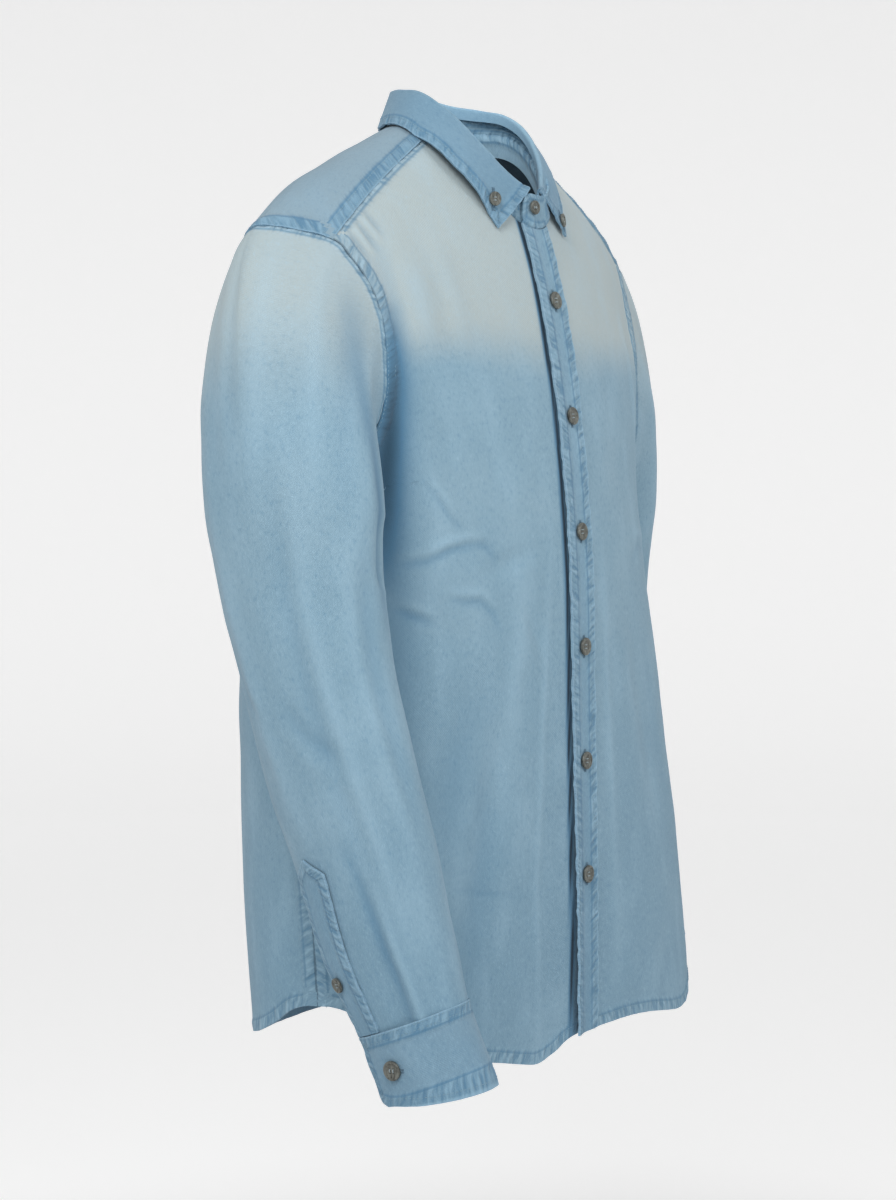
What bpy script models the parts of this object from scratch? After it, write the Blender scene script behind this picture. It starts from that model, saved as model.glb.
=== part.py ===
"""A long-sleeved button-down shirt of light denim, filled out as if worn, with nobody in it.

Metres, +Z up. The wearer faces -Y, so the wearer's right is -X. The origin is inside the neck, level with the
shoulder seams. Every panel is a thin closed wall whose outer points lie on one form, worked out from the sizes
below; what lies on a panel is made from that panel's points, moved out.
"""
import math

import bpy
import numpy as np

# ---- cloth and making ----------------------------------------------------------------------------
WALL = 0.0012            # one layer of denim
DOUBLE_WALL = 0.0018     # two layers sewn together: collar, stand, cuffs and bands
SEAM_GAP = 0.0003        # between two pieces that are sewn edge to edge
LAY_GAP = 0.0006         # between a band and the panel that it lies on
RIGHT, LEFT = -1, 1      # the wearer's sides along X


def table(columns, *rows):
    """Named columns of numbers, sorted by the first one."""
    data = np.array(sorted(rows), dtype=float)
    return {name: data[:, i] for i, name in enumerate(columns.split())}


def read(rows, key, column):
    """A column's value at a key between two rows, on a smooth curve."""
    keys = next(iter(rows.values()))
    values = rows[column]
    key = min(max(key, keys[0]), keys[-1])
    slopes = np.gradient(values, keys)
    i = min(int(np.searchsorted(keys, key, side="right")) - 1, len(keys) - 2)
    width = keys[i + 1] - keys[i]
    t = (key - keys[i]) / width
    return ((2 * t**3 - 3 * t**2 + 1) * values[i] + (t**3 - 2 * t**2 + t) * width * slopes[i]
            + (3 * t**2 - 2 * t**3) * values[i + 1] + (t**3 - t**2) * width * slopes[i + 1])


def mix(a, b, t):
    return a + (b - a) * t


def ease(t):
    """0 to 1 with a soft start and a soft end."""
    t = min(max(t, 0.0), 1.0)
    return t * t * (3 - 2 * t)


def rounded(corner, to_end):
    """How much a rounded corner takes off the height of a strip, this far from the strip's end."""
    return corner - math.sqrt(max(0.0, corner**2 - max(0.0, corner - to_end) ** 2))


# ---- the form of the body ------------------------------------------------------------------------
# Half width, how far the middle has swayed to the left (+X) and where it is along Y, depths in front of and behind
# that middle, and squareness (2 is an ellipse, more is squarer), at heights under the neck.
BODY = table(
    "height half_width sway middle front back square",
    (0.02, 0.262, 0.000, 0.012, 0.120, 0.128, 2.3),
    (-0.12, 0.258, 0.000, 0.012, 0.120, 0.128, 2.3),
    (-0.20, 0.236, 0.000, 0.012, 0.120, 0.128, 2.3),
    (-0.285, 0.210, 0.000, 0.010, 0.118, 0.130, 2.3),
    (-0.36, 0.213, 0.000, 0.006, 0.115, 0.132, 2.3),
    (-0.45, 0.222, 0.003, -0.001, 0.109, 0.133, 2.4),
    (-0.60, 0.232, 0.006, -0.018, 0.095, 0.132, 2.8),
    (-0.76, 0.240, 0.008, -0.036, 0.078, 0.122, 3.1),
)
FRONT_SLOPE = 0.42         # height over which the front curves back to the shoulder line
BACK_SLOPE = 0.308
RIDGE_TOP = 0.0145         # the shoulder line, from the neck to the sleeve
RIDGE_FALL = 0.4506
RIDGE_ROUND = 0.03
SHOULDER_ROUND = 2.4       # the shoulder rounds off past SHOULDER_FLAT from the middle
SHOULDER_FLAT = 0.17
NECK_RISE = {False: -0.001, True: 0.006}   # at the middle of the front, and of the back
NECK_HALF_WIDTH = 0.066
NECK_HALF_DEPTH = 0.063
NECK_MIDDLE = -0.003

# Large soft folds: a ridge (out > 0) or a trough along a line from one point of a face to another.
FOLDS = [dict(zip("back x0 z0 x1 z1 width out".split(), row)) for row in (
    (False, -0.205, -0.120, -0.150, -0.235, 0.012, 0.0035),
    (False, -0.178, -0.235, -0.190, -0.370, 0.011, -0.0040),
    (False, -0.110, -0.350, -0.060, -0.335, 0.008, -0.0025),
    (False, -0.075, -0.375, -0.045, -0.420, 0.008, -0.0025),
    (False, -0.085, -0.440, -0.140, -0.600, 0.016, -0.0040),
    (False, 0.200, -0.125, 0.150, -0.240, 0.012, 0.0030),
    (False, 0.180, -0.250, 0.185, -0.390, 0.012, -0.0035),
    (False, 0.090, -0.400, 0.135, -0.560, 0.016, -0.0035),
    (True, -0.190, -0.180, -0.150, -0.420, 0.016, 0.0035),
    (True, 0.190, -0.190, 0.155, -0.400, 0.016, 0.0035),
    (True, -0.080, -0.330, -0.110, -0.640, 0.018, -0.0040),
    (True, 0.070, -0.360, 0.100, -0.620, 0.018, -0.0040),
)]


def folds(x, z, back):
    """How far the folds move a point of the front or the back out."""
    out = 0.0
    for f in FOLDS:
        if f["back"] != back:
            continue
        run = np.array((f["x1"] - f["x0"], f["z1"] - f["z0"]))
        to = np.array((x - f["x0"], z - f["z0"]))
        along = min(max(to @ run / (run @ run), 0.0), 1.0)
        away = np.linalg.norm(to - along * run)
        out += f["out"] * math.exp(-((away / f["width"]) ** 2)) * math.sin(math.pi * mix(0.12, 0.88, along))
    return out


def ridge(x, back):
    """Height of the line along the tops of the shoulders."""
    fall = RIDGE_FALL * (math.hypot(x, RIDGE_ROUND) - RIDGE_ROUND)
    rise = NECK_RISE[back] * max(0.0, 1 - (x / NECK_HALF_WIDTH) ** 2) ** 2
    return RIDGE_TOP - fall + rise - SHOULDER_ROUND * max(0.0, abs(x) - SHOULDER_FLAT) ** 2


def across(x, z):
    """How much of its full depth the body has at x: 1 at the middle, 0 at the side."""
    square = read(BODY, z, "square")
    reach = abs(x - read(BODY, z, "sway")) / read(BODY, z, "half_width")
    return max(1e-9, 1 - reach**square) ** (1 / square)


def body(x, z, back):
    """The point of the body's form at x and z, on its front or its back."""
    slope = BACK_SLOPE if back else FRONT_SLOPE
    drop = min(max((ridge(x, back) - z) / slope, 0.0), 1.0)
    depth = read(BODY, z, "back" if back else "front") * math.sqrt(1 - (1 - drop) ** 2) + folds(x, z, back)
    depth *= across(x, z)
    return np.array((x, read(BODY, z, "middle") + (depth if back else -depth), z))


def body_height(x, y):
    """Height of the form's upper part over a point in plan."""
    back = y > BODY["middle"][-1]
    slope = BACK_SLOPE if back else FRONT_SLOPE
    z = ridge(x, back)
    for _ in range(8):
        reach = abs(y - read(BODY, z, "middle")) / (read(BODY, z, "back" if back else "front") * across(x, z))
        z = ridge(x, back) - slope * (1 - math.sqrt(1 - min(reach, 1.0) ** 2))
    return z


def around(x, z):
    """Turn round the body's section, 0 at the middle and 90 degrees at the side, of a point at x."""
    x -= read(BODY, z, "sway")
    reach = min(abs(x) / read(BODY, z, "half_width"), 1.0)
    return math.copysign(math.asin(reach ** (read(BODY, z, "square") / 2)), x)


def across_at(turn, z):
    """The x of a turn round the body's section: the opposite of around()."""
    reach = read(BODY, z, "half_width") * abs(math.sin(turn)) ** (2 / read(BODY, z, "square"))
    return read(BODY, z, "sway") + math.copysign(reach, turn)


def facing(point):
    """The way that the body's form faces at one of its points."""
    x, y, z = point
    back = y > read(BODY, z, "middle")
    step = 0.0006
    side = body(x + step, z, back) - body(x - step, z, back)
    up = body(x, z + step, back) - body(x, z - step, back)
    out = np.cross(side, up) * (-1 if back else 1)
    return out / np.linalg.norm(out)


def neck(turn):
    """The neck seam, at degrees from the middle of the front towards +X."""
    x = NECK_HALF_WIDTH * math.sin(math.radians(turn))
    y = NECK_MIDDLE - NECK_HALF_DEPTH * math.cos(math.radians(turn))
    return np.array((x, y, body_height(x, y)))


# ---- making a wall from a grid of points ---------------------------------------------------------
def normals(grid, closed, heart):
    """Unit normals of a grid of points, pointing away from the heart."""
    if closed:
        side = np.roll(grid, -1, axis=1) - np.roll(grid, 1, axis=1)
    else:
        side = np.gradient(grid, axis=1)
    out = np.cross(side, np.gradient(grid, axis=0))
    out /= np.maximum(np.linalg.norm(out, axis=2, keepdims=True), 1e-12)
    return out if (out * (grid - heart)).sum() > 0 else -out


def build(name, points, faces, colour):
    """One named object from points and faces, with its own material."""
    mesh = bpy.data.meshes.new(name)
    mesh.from_pydata([tuple(p) for p in points], [], faces)
    mesh.validate()
    thing = bpy.data.objects.new(name, mesh)
    bpy.context.scene.collection.objects.link(thing)
    finish = bpy.data.materials.new(name)
    finish.use_nodes = True
    shader = finish.node_tree.nodes["Principled BSDF"]
    shader.inputs["Base Color"].default_value = (*colour["rgb"], 1)
    shader.inputs["Roughness"].default_value = colour["roughness"]
    shader.inputs["Metallic"].default_value = 0
    mesh.materials.append(finish)
    mesh.shade_smooth()
    mesh.set_sharp_from_angle(angle=math.radians(40))
    return thing


def wall(name, grid, thickness, heart, colour, closed=False, on_form=False):
    """A closed wall: the grid is its outer side, and its inner side lies one thickness in."""
    grid = np.array(grid, dtype=float)
    out = np.array([[facing(p) for p in row] for row in grid]) if on_form else normals(grid, closed, heart)
    rows, columns = grid.shape[:2]
    count = rows * columns
    points = np.concatenate([grid.reshape(-1, 3), (grid - out * thickness).reshape(-1, 3)])
    spans = columns if closed else columns - 1
    faces = []
    for i in range(rows - 1):
        for j in range(spans):
            k = (j + 1) % columns
            a, b, c, d = i * columns + j, i * columns + k, (i + 1) * columns + k, (i + 1) * columns + j
            faces += [(a, b, c, d), (a + count, d + count, c + count, b + count)]
    for i, turned in ((0, False), (rows - 1, True)):
        for j in range(spans):
            a, b = i * columns + j, i * columns + (j + 1) % columns
            faces.append((a, b, b + count, a + count) if turned else (b, a, a + count, b + count))
    if not closed:
        for j, turned in ((0, True), (columns - 1, False)):
            for i in range(rows - 1):
                a, b = i * columns + j, (i + 1) * columns + j
                faces.append((a, b, b + count, a + count) if turned else (b, a, a + count, b + count))
    first = points[list(faces[0])]
    if np.cross(first[1] - first[0], first[3] - first[0]) @ out[0, 0] < 0:
        faces = [face[::-1] for face in faces]
    return build(name, points, faces, colour)


def inset(grid, *edges):
    """Moves the named edges of a grid half a seam gap in, so that the next piece keeps clear."""
    grid = np.array(grid, dtype=float)
    views = {"first": grid, "last": grid[::-1], "left": grid.transpose(1, 0, 2),
             "right": grid.transpose(1, 0, 2)[::-1]}
    for edge in edges:
        view = views[edge]
        step = view[1] - view[0]
        view[0] += step / np.maximum(np.linalg.norm(step, axis=1, keepdims=True), 1e-9) * SEAM_GAP / 2
    return grid


def moved_out(grid, distance, heart, closed=False):
    """A grid moved out along its normals, by one distance or one for each point."""
    grid = np.array(grid, dtype=float)
    return grid + normals(grid, closed, heart) * np.broadcast_to(distance, grid.shape[:2])[..., None]


HEART = np.array((0.0, 0.01, -0.38))
DENIM = {"rgb": (0.27, 0.43, 0.56), "roughness": 0.9}
FADED = {"rgb": (0.36, 0.49, 0.58), "roughness": 0.9}
HORN = {"rgb": (0.17, 0.14, 0.10), "roughness": 0.35}

# ---- armholes ------------------------------------------------------------------------------------
SHOULDER_HALF = 0.247      # from the middle to the sleeve seam, at the top of the shoulder
ARMPIT = -0.285
ARMHOLE_FLAT = 1.15        # over 1, the seam runs flatter over the top of the shoulder
ARMHOLE_BOW = table(        # how far the seam bows in, in front and behind, by degrees from its top
    "turn front back",
    (0, 0.0, 0.0), (15, 0.0170, 0.0000), (30, 0.0410, 0.0010), (45, 0.0470, 0.0060), (60, 0.0525, 0.0140),
    (90, 0.0490, 0.0240), (120, 0.0364, 0.0205), (150, 0.0122, 0.0075), (165, 0.0034, 0.0020), (180, 0.0, 0.0),
)
ARMHOLE_POINTS = 24
YOKE_POINTS = 2            # points each side of the shoulder line where the yoke meets the sleeve


def armhole(side, k):
    """Point k of the armhole: 0 at the top, then down the front to the armpit and up the back."""
    turn = 360 * (k % ARMHOLE_POINTS) / ARMHOLE_POINTS
    back = turn > 180
    down = ((1 - math.cos(math.radians(turn))) / 2) ** ARMHOLE_FLAT
    z = mix(ridge(SHOULDER_HALF, False), ARMPIT, down)
    x = mix(SHOULDER_HALF, read(BODY, ARMPIT, "half_width"), down)
    x -= read(ARMHOLE_BOW, 360 - turn if back else turn, "back" if back else "front")
    return body(side * x, z, back)


# ---- hem -----------------------------------------------------------------------------------------
# Height of the shirt tail round each half, from the middle of the front to the middle of the back.
HEM = table(
    "turn right left",
    (0, -0.7155, -0.7170), (3, -0.7180, -0.7174), (6, -0.7240, -0.7182), (10, -0.7275, -0.7200),
    (15, -0.7235, -0.7228), (20, -0.7185, -0.7262), (26, -0.7135, -0.7303), (34, -0.7080, -0.7340),
    (50, -0.6940, -0.7280), (68, -0.6720, -0.7020),
    (80, -0.6640, -0.6700), (90, -0.6625, -0.6625), (100, -0.6650, -0.6650), (115, -0.6840, -0.6840),
    (130, -0.6980, -0.6980), (150, -0.7140, -0.7140), (180, -0.7220, -0.7220),
)


def hem(turn, side):
    return read(HEM, math.degrees(turn), "right" if side == RIGHT else "left")


# ---- fronts --------------------------------------------------------------------------------------
BAND_WIDTH = 0.035          # the placket
LAP_EDGE = 0.0152           # the right front ends this far past the middle, under the placket
SIDE_ROWS = 14              # rows from the hem to the armpit
ARM_ROWS = ARMHOLE_POINTS // 2 - YOKE_POINTS
NECK_ROWS = 5               # rows that start on the neck seam
FRONT_COLUMNS = 12
LEVEL_AT_ARMPIT = 3.0
YOKE_TURN = 80              # where the yoke's front seam meets the neck seam, in degrees


def front_rows(side, edge_x):
    """Rows of one front, from the hem to the yoke seam: the (x, z) of its start and end, how near it is to the
    hem, and how soon it levels out on its way to the side."""
    rows = SIDE_ROWS + ARM_ROWS
    edge_turn = side * math.degrees(math.asin(edge_x / NECK_HALF_WIDTH))
    edge_top = neck(edge_turn)[2]
    hem_z = hem(abs(around(side * edge_x, -0.72)), side)
    for i in range(rows + 1):
        up = i / (rows - NECK_ROWS)
        if up <= 1:
            start = (side * edge_x, mix(hem_z, edge_top, up))
        else:
            x, _, z = neck(mix(edge_turn, side * YOKE_TURN, (i - rows + NECK_ROWS) / NECK_ROWS))
            start = (x, z)
        if i <= SIDE_ROWS:
            end_z = mix(hem(math.pi / 2, side), ARMPIT, i / SIDE_ROWS)
            end = (across_at(side * math.pi / 2, end_z), end_z)
        else:
            x, _, z = armhole(side, ARMHOLE_POINTS // 2 - (i - SIDE_ROWS))
            end = (x, z)
        near_armpit = min(i / SIDE_ROWS, (rows - i) / ARM_ROWS)
        yield start, end, max(0.0, 1 - i / SIDE_ROWS), mix(1.0, LEVEL_AT_ARMPIT, near_armpit)


def front_grid(side, edge_x):
    grid = []
    for (x0, z0), (x1, z1), low, level in front_rows(side, edge_x):
        a, b = around(x0, z0), around(x1, z1)
        row = []
        for j in range(FRONT_COLUMNS + 1):
            w = j / FRONT_COLUMNS
            turn = mix(a, b, w)
            gone = 1 - (1 - w) ** level
            bend = hem(abs(turn), side) - mix(hem(abs(a), side), hem(abs(b), side), gone)
            z = mix(z0, z1, gone) + bend * low
            row.append(body(across_at(turn, z), z, False))
        grid.append(row)
    for j in range(1, FRONT_COLUMNS, 2):
        grid[-1][j] = (grid[-1][j - 1] + grid[-1][j + 1]) / 2   # straight between the yoke's points
    return grid


def make_fronts():
    right = front_grid(RIGHT, -LAP_EDGE)
    left = front_grid(LEFT, LAP_EDGE + SEAM_GAP)
    wall("front_right", inset(right, "last", "right"), WALL, HEART, DENIM, on_form=True)
    wall("front_left", inset(left, "last", "right"), WALL, HEART, DENIM, on_form=True)


# ---- placket: the button band, sewn to the left front and lying over the right one ---------------
BAND_ROWS = SIDE_ROWS + ARM_ROWS - NECK_ROWS
BAND_COLUMNS = 4
BAND_LONGER = 0.001
BAND_LIFT = table("height lift", (-0.72, 0.0045), (-0.60, 0.0030), (-0.45, 0.0014), (-0.30, 0.0008), (-0.08, 0.0))


def band_grid():
    grid = []
    for i in range(BAND_ROWS + 1):
        row = []
        for j in range(BAND_COLUMNS + 1):
            x = mix(-BAND_WIDTH / 2, BAND_WIDTH / 2, j / BAND_COLUMNS)
            top = neck(math.degrees(math.asin(x / NECK_HALF_WIDTH)))[2] - SEAM_GAP
            z = mix(hem(0.0, RIGHT) - BAND_LONGER, top, i / BAND_ROWS)
            free = max(0.0, -x / (BAND_WIDTH / 2))
            lift = read(BAND_LIFT, z, "lift") * free**2
            row.append(body(x, z, False) - np.array((0, lift, 0)))
        grid.append(row)
    return moved_out(grid, DOUBLE_WALL + LAY_GAP, HEART)


def make_placket():
    wall("placket", band_grid(), DOUBLE_WALL, HEART, DENIM)


# ---- back ----------------------------------------------------------------------------------------
BACK_COLUMNS = 22
BACK_YOKE = -0.098          # the back yoke seam, at the middle


def back_grid():
    grid = []
    for i in range(SIDE_ROWS + ARM_ROWS + 1):
        if i <= SIDE_ROWS:
            side_z = mix(hem(math.pi / 2, RIGHT), ARMPIT, i / SIDE_ROWS)
            end = math.pi / 2
        else:
            side_x, _, side_z = armhole(LEFT, ARMHOLE_POINTS // 2 + (i - SIDE_ROWS))
            end = around(side_x, side_z)
        middle_z = mix(hem(math.pi, RIGHT), BACK_YOKE, i / (SIDE_ROWS + ARM_ROWS))
        low = max(0.0, 1 - i / SIDE_ROWS)
        row = []
        for j in range(BACK_COLUMNS + 1):
            w = 2 * j / BACK_COLUMNS - 1
            turn = w * end
            straight = mix(hem(math.pi, RIGHT), hem(math.pi / 2, RIGHT), w * w)
            bend = hem(math.pi - abs(turn), RIGHT) - straight
            z = mix(middle_z, side_z, w * w) + bend * low
            row.append(body(across_at(turn, z), z, True))
        grid.append(row)
    return grid


def make_back():
    wall("back", inset(back_grid(), "last", "left", "right"), WALL, HEART, DENIM, on_form=True)


# ---- yoke ----------------------------------------------------------------------------------------
YOKE_COLUMNS = FRONT_COLUMNS // 2
SHOULDER_TURN = 106         # where the neck seam's points stop facing the armhole, in degrees


def lean(x, z, back):
    """Angle over the shoulder line of a point of the form: 0 on the line, negative in front."""
    slope = BACK_SLOPE if back else FRONT_SLOPE
    angle = math.acos(min(max(1 - (ridge(x, back) - z) / slope, -1.0), 1.0))
    return angle if back else -angle


def over_shoulder(point):
    """A point of the form as its x and its angle over the shoulder line."""
    return np.array((point[0], lean(point[0], point[2], point[1] > BODY["middle"][-1])))


def yoke_grid():
    """Rows run from the neck seam outward, one row for each point along the piece."""
    ends = []
    over = 2 * YOKE_POINTS
    for k in range(over + 1):
        ends.append((neck(mix(YOKE_TURN, SHOULDER_TURN, k / over)), armhole(LEFT, YOKE_POINTS - k)))
    top = back_grid()[-1]
    for j in range(1, BACK_COLUMNS):
        turn = mix(SHOULDER_TURN, 360 - SHOULDER_TURN, j / BACK_COLUMNS)
        ends.append((neck(turn), top[BACK_COLUMNS - j]))
    for k in range(over + 1):
        ends.append((neck(mix(360 - SHOULDER_TURN, 360 - YOKE_TURN, k / over)), armhole(RIGHT, k - YOKE_POINTS)))
    seam = {LEFT: front_grid(LEFT, LAP_EDGE)[-1][::2], RIGHT: front_grid(RIGHT, LAP_EDGE)[-1][::2]}
    grid = []
    for k, (inner, outer) in enumerate(ends):
        side = LEFT if k < len(ends) / 2 else RIGHT
        from_seam = min(k, len(ends) - 1 - k)
        like_seam = max(0.0, 1 - from_seam / over)
        a, b = over_shoulder(inner), over_shoulder(outer)
        first, last = over_shoulder(seam[side][0]), over_shoulder(seam[side][-1])
        row = []
        for j in range(YOKE_COLUMNS + 1):
            w = j / YOKE_COLUMNS
            bow = over_shoulder(seam[side][j]) - mix(first, last, w)
            x, angle = mix(a, b, w) + bow * like_seam
            back = angle > 0
            z = ridge(x, back) - (BACK_SLOPE if back else FRONT_SLOPE) * (1 - math.cos(angle))
            row.append(body(x, z, back) if from_seam else seam[side][j])
        grid.append(row)
    return grid


def make_yoke():
    wall("yoke", inset(yoke_grid(), "first", "last", "right"), WALL, HEART, DENIM, on_form=True)


# ---- collar stand and collar ---------------------------------------------------------------------
STAND = table("turn height lean", (0, 0.025, 0.000), (45, 0.021, 0.002), (90, 0.015, 0.004), (180, 0.021, 0.004))
STAND_DROOP = 0.005         # the stand stands this much lower on the wearer's left
STAND_CLEAR = 0.0019        # from the neck seam to the stand's lower edge
STAND_LAP = 0.0172          # the stand's ends reach this far past the middle
LAP_STARTS, LAP_FULL = 45, 15    # the over end leaves the neck seam this many degrees before the middle
STAND_CORNER = 0.012
STAND_TURNS = 38
STAND_ROWS = 3
FOLD_RADIUS = 0.0036


def fold_back(turn):
    """The same turn measured 0 to 180 on either side."""
    turn = abs(turn)
    return turn if turn <= 180 else 360 - turn


def stand_height(turn):
    droop = STAND_DROOP * max(0.0, math.sin(math.radians(turn))) ** 2
    return read(STAND, fold_back(turn), "height") - droop


def stand_point(turn, up, lap):
    """A point of the stand's outer side; up is 0 at the neck seam and 1 at the top, lap its distance out."""
    away = np.array((math.sin(math.radians(turn)) * NECK_HALF_DEPTH,
                     -math.cos(math.radians(turn)) * NECK_HALF_WIDTH, 0.0))
    away /= np.linalg.norm(away)
    out = lap - read(STAND, fold_back(turn), "lean") * up
    return neck(turn) + away * out + np.array((0, 0, STAND_CLEAR + stand_height(turn) * up))


def make_stand():
    """Runs from the right end, under, round the back to the left end, over it, with a rounded corner."""
    lap_turn = math.degrees(math.asin(STAND_LAP / NECK_HALF_WIDTH))
    turns = np.linspace(lap_turn, -360 - lap_turn, STAND_TURNS + 1)
    grid = []
    for i in range(STAND_ROWS + 1):
        row = []
        for turn in turns:
            lap = (DOUBLE_WALL + LAY_GAP) * ease((-360 - turn + LAP_STARTS) / (LAP_STARTS - LAP_FULL))
            to_end = min(abs(turn - turns[0]), abs(turn - turns[-1])) * math.radians(1) * NECK_HALF_WIDTH
            up = i / STAND_ROWS * (1 - min(0.75, rounded(STAND_CORNER, to_end) / stand_height(turn)))
            row.append(stand_point(turn, up, lap))
        grid.append(row)
    wall("collar_stand", grid, DOUBLE_WALL, np.array((0, NECK_MIDDLE, 0.0)), DENIM)


# The leaf: how high its fold stands over the stand, how far its edge hangs out from the neck seam, and the
# edge's height, at turns from the middle of the front; the first row is the point.
LEAF = table(
    "turn fold out edge bulge",
    (8, 0.0050, 0.0110, -0.0890, 0.001), (30, 0.0055, 0.0200, -0.0660, 0.003), (55, 0.0060, 0.0250, -0.0440, 0.004),
    (75, 0.0065, 0.0240, -0.0250, 0.004), (100, 0.0070, 0.0170, -0.0120, 0.004), (135, 0.0080, 0.0085, -0.0060, 0.004),
    (180, 0.0080, 0.0080, -0.0080, 0.004),
)
LEAF_CLOSER = 0.45          # how much nearer the leaf hangs on the wearer's left
LEAF_END = 8
LEAF_TURNS = 34
LEAF_FALL = 6               # rows from the fold to the edge
LEAF_POINT_ASIDE = 32       # degrees that the point lies further round than the end of the fold
LEAF_SWING_TURNS = 70       # over which that dies out


def leaf_profile(turn):
    """Points of one section of the leaf: up the inside, over the fold and down to its edge."""
    side = fold_back(turn)
    sign = 1 if 0 <= turn <= 180 else -1
    fold = read(LEAF, side, "fold")
    top = stand_point(turn, 1.0, 0.0)
    away = top - stand_point(turn, 1.0, -1.0)
    away /= np.linalg.norm(away)
    rise = np.array((0, 0, 1.0))
    start = top - away * DOUBLE_WALL + rise * LAY_GAP
    points = [start, start + rise * (fold - FOLD_RADIUS)]
    centre = points[-1] + away * FOLD_RADIUS
    for angle in (45, 90, 135, 180):
        bend = math.radians(angle)
        points.append(centre - away * FOLD_RADIUS * math.cos(bend) + rise * FOLD_RADIUS * math.sin(bend))
    swing = LEAF_POINT_ASIDE * max(0.0, 1 - (side - LEAF_END) / LEAF_SWING_TURNS) ** 1.5
    edge_turn = sign * (side + swing)
    out = read(LEAF, side, "out") * (1 - LEAF_CLOSER * max(0.0, math.sin(math.radians(turn))) ** 0.5)
    base = neck(edge_turn)
    aside = np.array((math.sin(math.radians(edge_turn)), -math.cos(math.radians(edge_turn)), 0))
    edge = base + aside * out
    edge[2] = read(LEAF, side, "edge")
    edge = clear_of_body(edge, DOUBLE_WALL + 2 * LAY_GAP)
    last = points[-1]
    for j in range(1, LEAF_FALL + 1):
        w = j / LEAF_FALL
        bulge = read(LEAF, side, "bulge") * 4 * w * (1 - w)
        points.append(clear_of_body(mix(last, edge, w) + away * bulge, DOUBLE_WALL + 2 * LAY_GAP))
    return points


def clear_of_body(point, lift):
    """Moves a point off the body's form, along the way that the form faces there, if it is nearer than lift."""
    x, y, z = point
    back = y > BODY["middle"][-1]
    step = 0.002
    here = body_height(x, y)
    slope = abs(body_height(x, y + step) - here) / step
    steep = slope > 1 and z < ridge(x, back)
    if steep:
        face = body(x, z, back)[1]
        away = lift * math.hypot(1, 1 / slope)
        y = max(y, face + away) if back else min(y, face - away)
    else:
        z = max(z, here + lift * math.hypot(1, slope))
    return np.array((x, y, z))


def leaf_grid():
    turns = np.linspace(LEAF_END, 360 - LEAF_END, LEAF_TURNS + 1)
    return [leaf_profile(turn if turn <= 180 else turn - 360) for turn in turns]


def make_collar():
    wall("collar", leaf_grid(), DOUBLE_WALL, np.array((0, NECK_MIDDLE, -0.05)), DENIM)


# ---- sleeves -------------------------------------------------------------------------------------
# Middle of the sleeve (out from the body's middle, and forward), and half its width out and along, by height.
# The right arm bends forward; the left one hangs straighter, beside and a little behind the body.
SLEEVES = {
    RIGHT: table(
        "height out forward half_out half_along",
        (-0.3150, 0.2655, 0.0380, 0.0500, 0.0700), (-0.3600, 0.2670, 0.0445, 0.0490, 0.0640),
        (-0.4070, 0.2680, 0.0545, 0.0470, 0.0585), (-0.4780, 0.2640, 0.0720, 0.0450, 0.0570),
        (-0.5480, 0.2570, 0.0920, 0.0430, 0.0530), (-0.5900, 0.2530, 0.1020, 0.0420, 0.0505),
        (-0.6240, 0.2490, 0.1130, 0.0400, 0.0465), (-0.6530, 0.2470, 0.1240, 0.0370, 0.0415),
        (-0.7040, 0.2450, 0.1450, 0.0360, 0.0405),
    ),
    LEFT: table(
        "height out forward half_out half_along",
        (-0.3150, 0.2620, -0.0430, 0.0490, 0.0640), (-0.3600, 0.2640, -0.0480, 0.0480, 0.0620),
        (-0.4070, 0.2670, -0.0500, 0.0460, 0.0580), (-0.4780, 0.2760, -0.0460, 0.0440, 0.0550),
        (-0.5480, 0.2830, -0.0350, 0.0430, 0.0520), (-0.5900, 0.2850, -0.0270, 0.0420, 0.0500),
        (-0.6240, 0.2860, -0.0200, 0.0400, 0.0465), (-0.6530, 0.2870, -0.0140, 0.0370, 0.0415),
        (-0.7080, 0.2890, -0.0010, 0.0360, 0.0405),
    ),
}
SLEEVE_TOP = -0.315
SLEEVE_END = -0.653
CUFF_END = {RIGHT: -0.7040, LEFT: -0.7080}
CAP_ROWS = 6               # rows from the armhole to the first level section
ARM_SECTIONS = 13          # rows from there to the cuff
PLEATS = ((27, -0.0030, 8), (40, 0.0028, 9), (62, -0.0018, 9))   # turn, height and width in degrees, at the cuff
PLEAT_LENGTH = 0.085
WRIST_RADIUS = 0.039


def arm_axis(side, z):
    """Middle of the sleeve at a height, and its directions: down the arm, out and forward."""
    def middle(height):
        return np.array((side * read(SLEEVES[side], height, "out"), -read(SLEEVES[side], height, "forward"), height))
    step = 0.004
    down = middle(z - step) - middle(z + step)
    down /= np.linalg.norm(down)
    forward = np.array((0, -1.0, 0))
    forward -= down * (forward @ down)
    forward /= np.linalg.norm(forward)
    out = np.cross(forward, down) * side
    return middle(z), down, out * (1 if out[0] * side > 0 else -1), forward


def sleeve_point(side, turn, z):
    """A point of the sleeve or the cuff: turn is 0 outward, 90 forward, 180 towards the body."""
    middle, _, out, forward = arm_axis(side, z)
    a = math.radians(turn)
    full = 1.0
    near_cuff = ease((SLEEVE_END + PLEAT_LENGTH - z) / PLEAT_LENGTH) if z >= SLEEVE_END else 0.0
    for at, height, width in PLEATS:
        full += near_cuff * height / WRIST_RADIUS * math.exp(-(((turn - at + 180) % 360 - 180) / width) ** 2)
    return (middle + out * read(SLEEVES[side], z, "half_out") * math.cos(a) * full
            + forward * read(SLEEVES[side], z, "half_along") * math.sin(a) * full)


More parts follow.
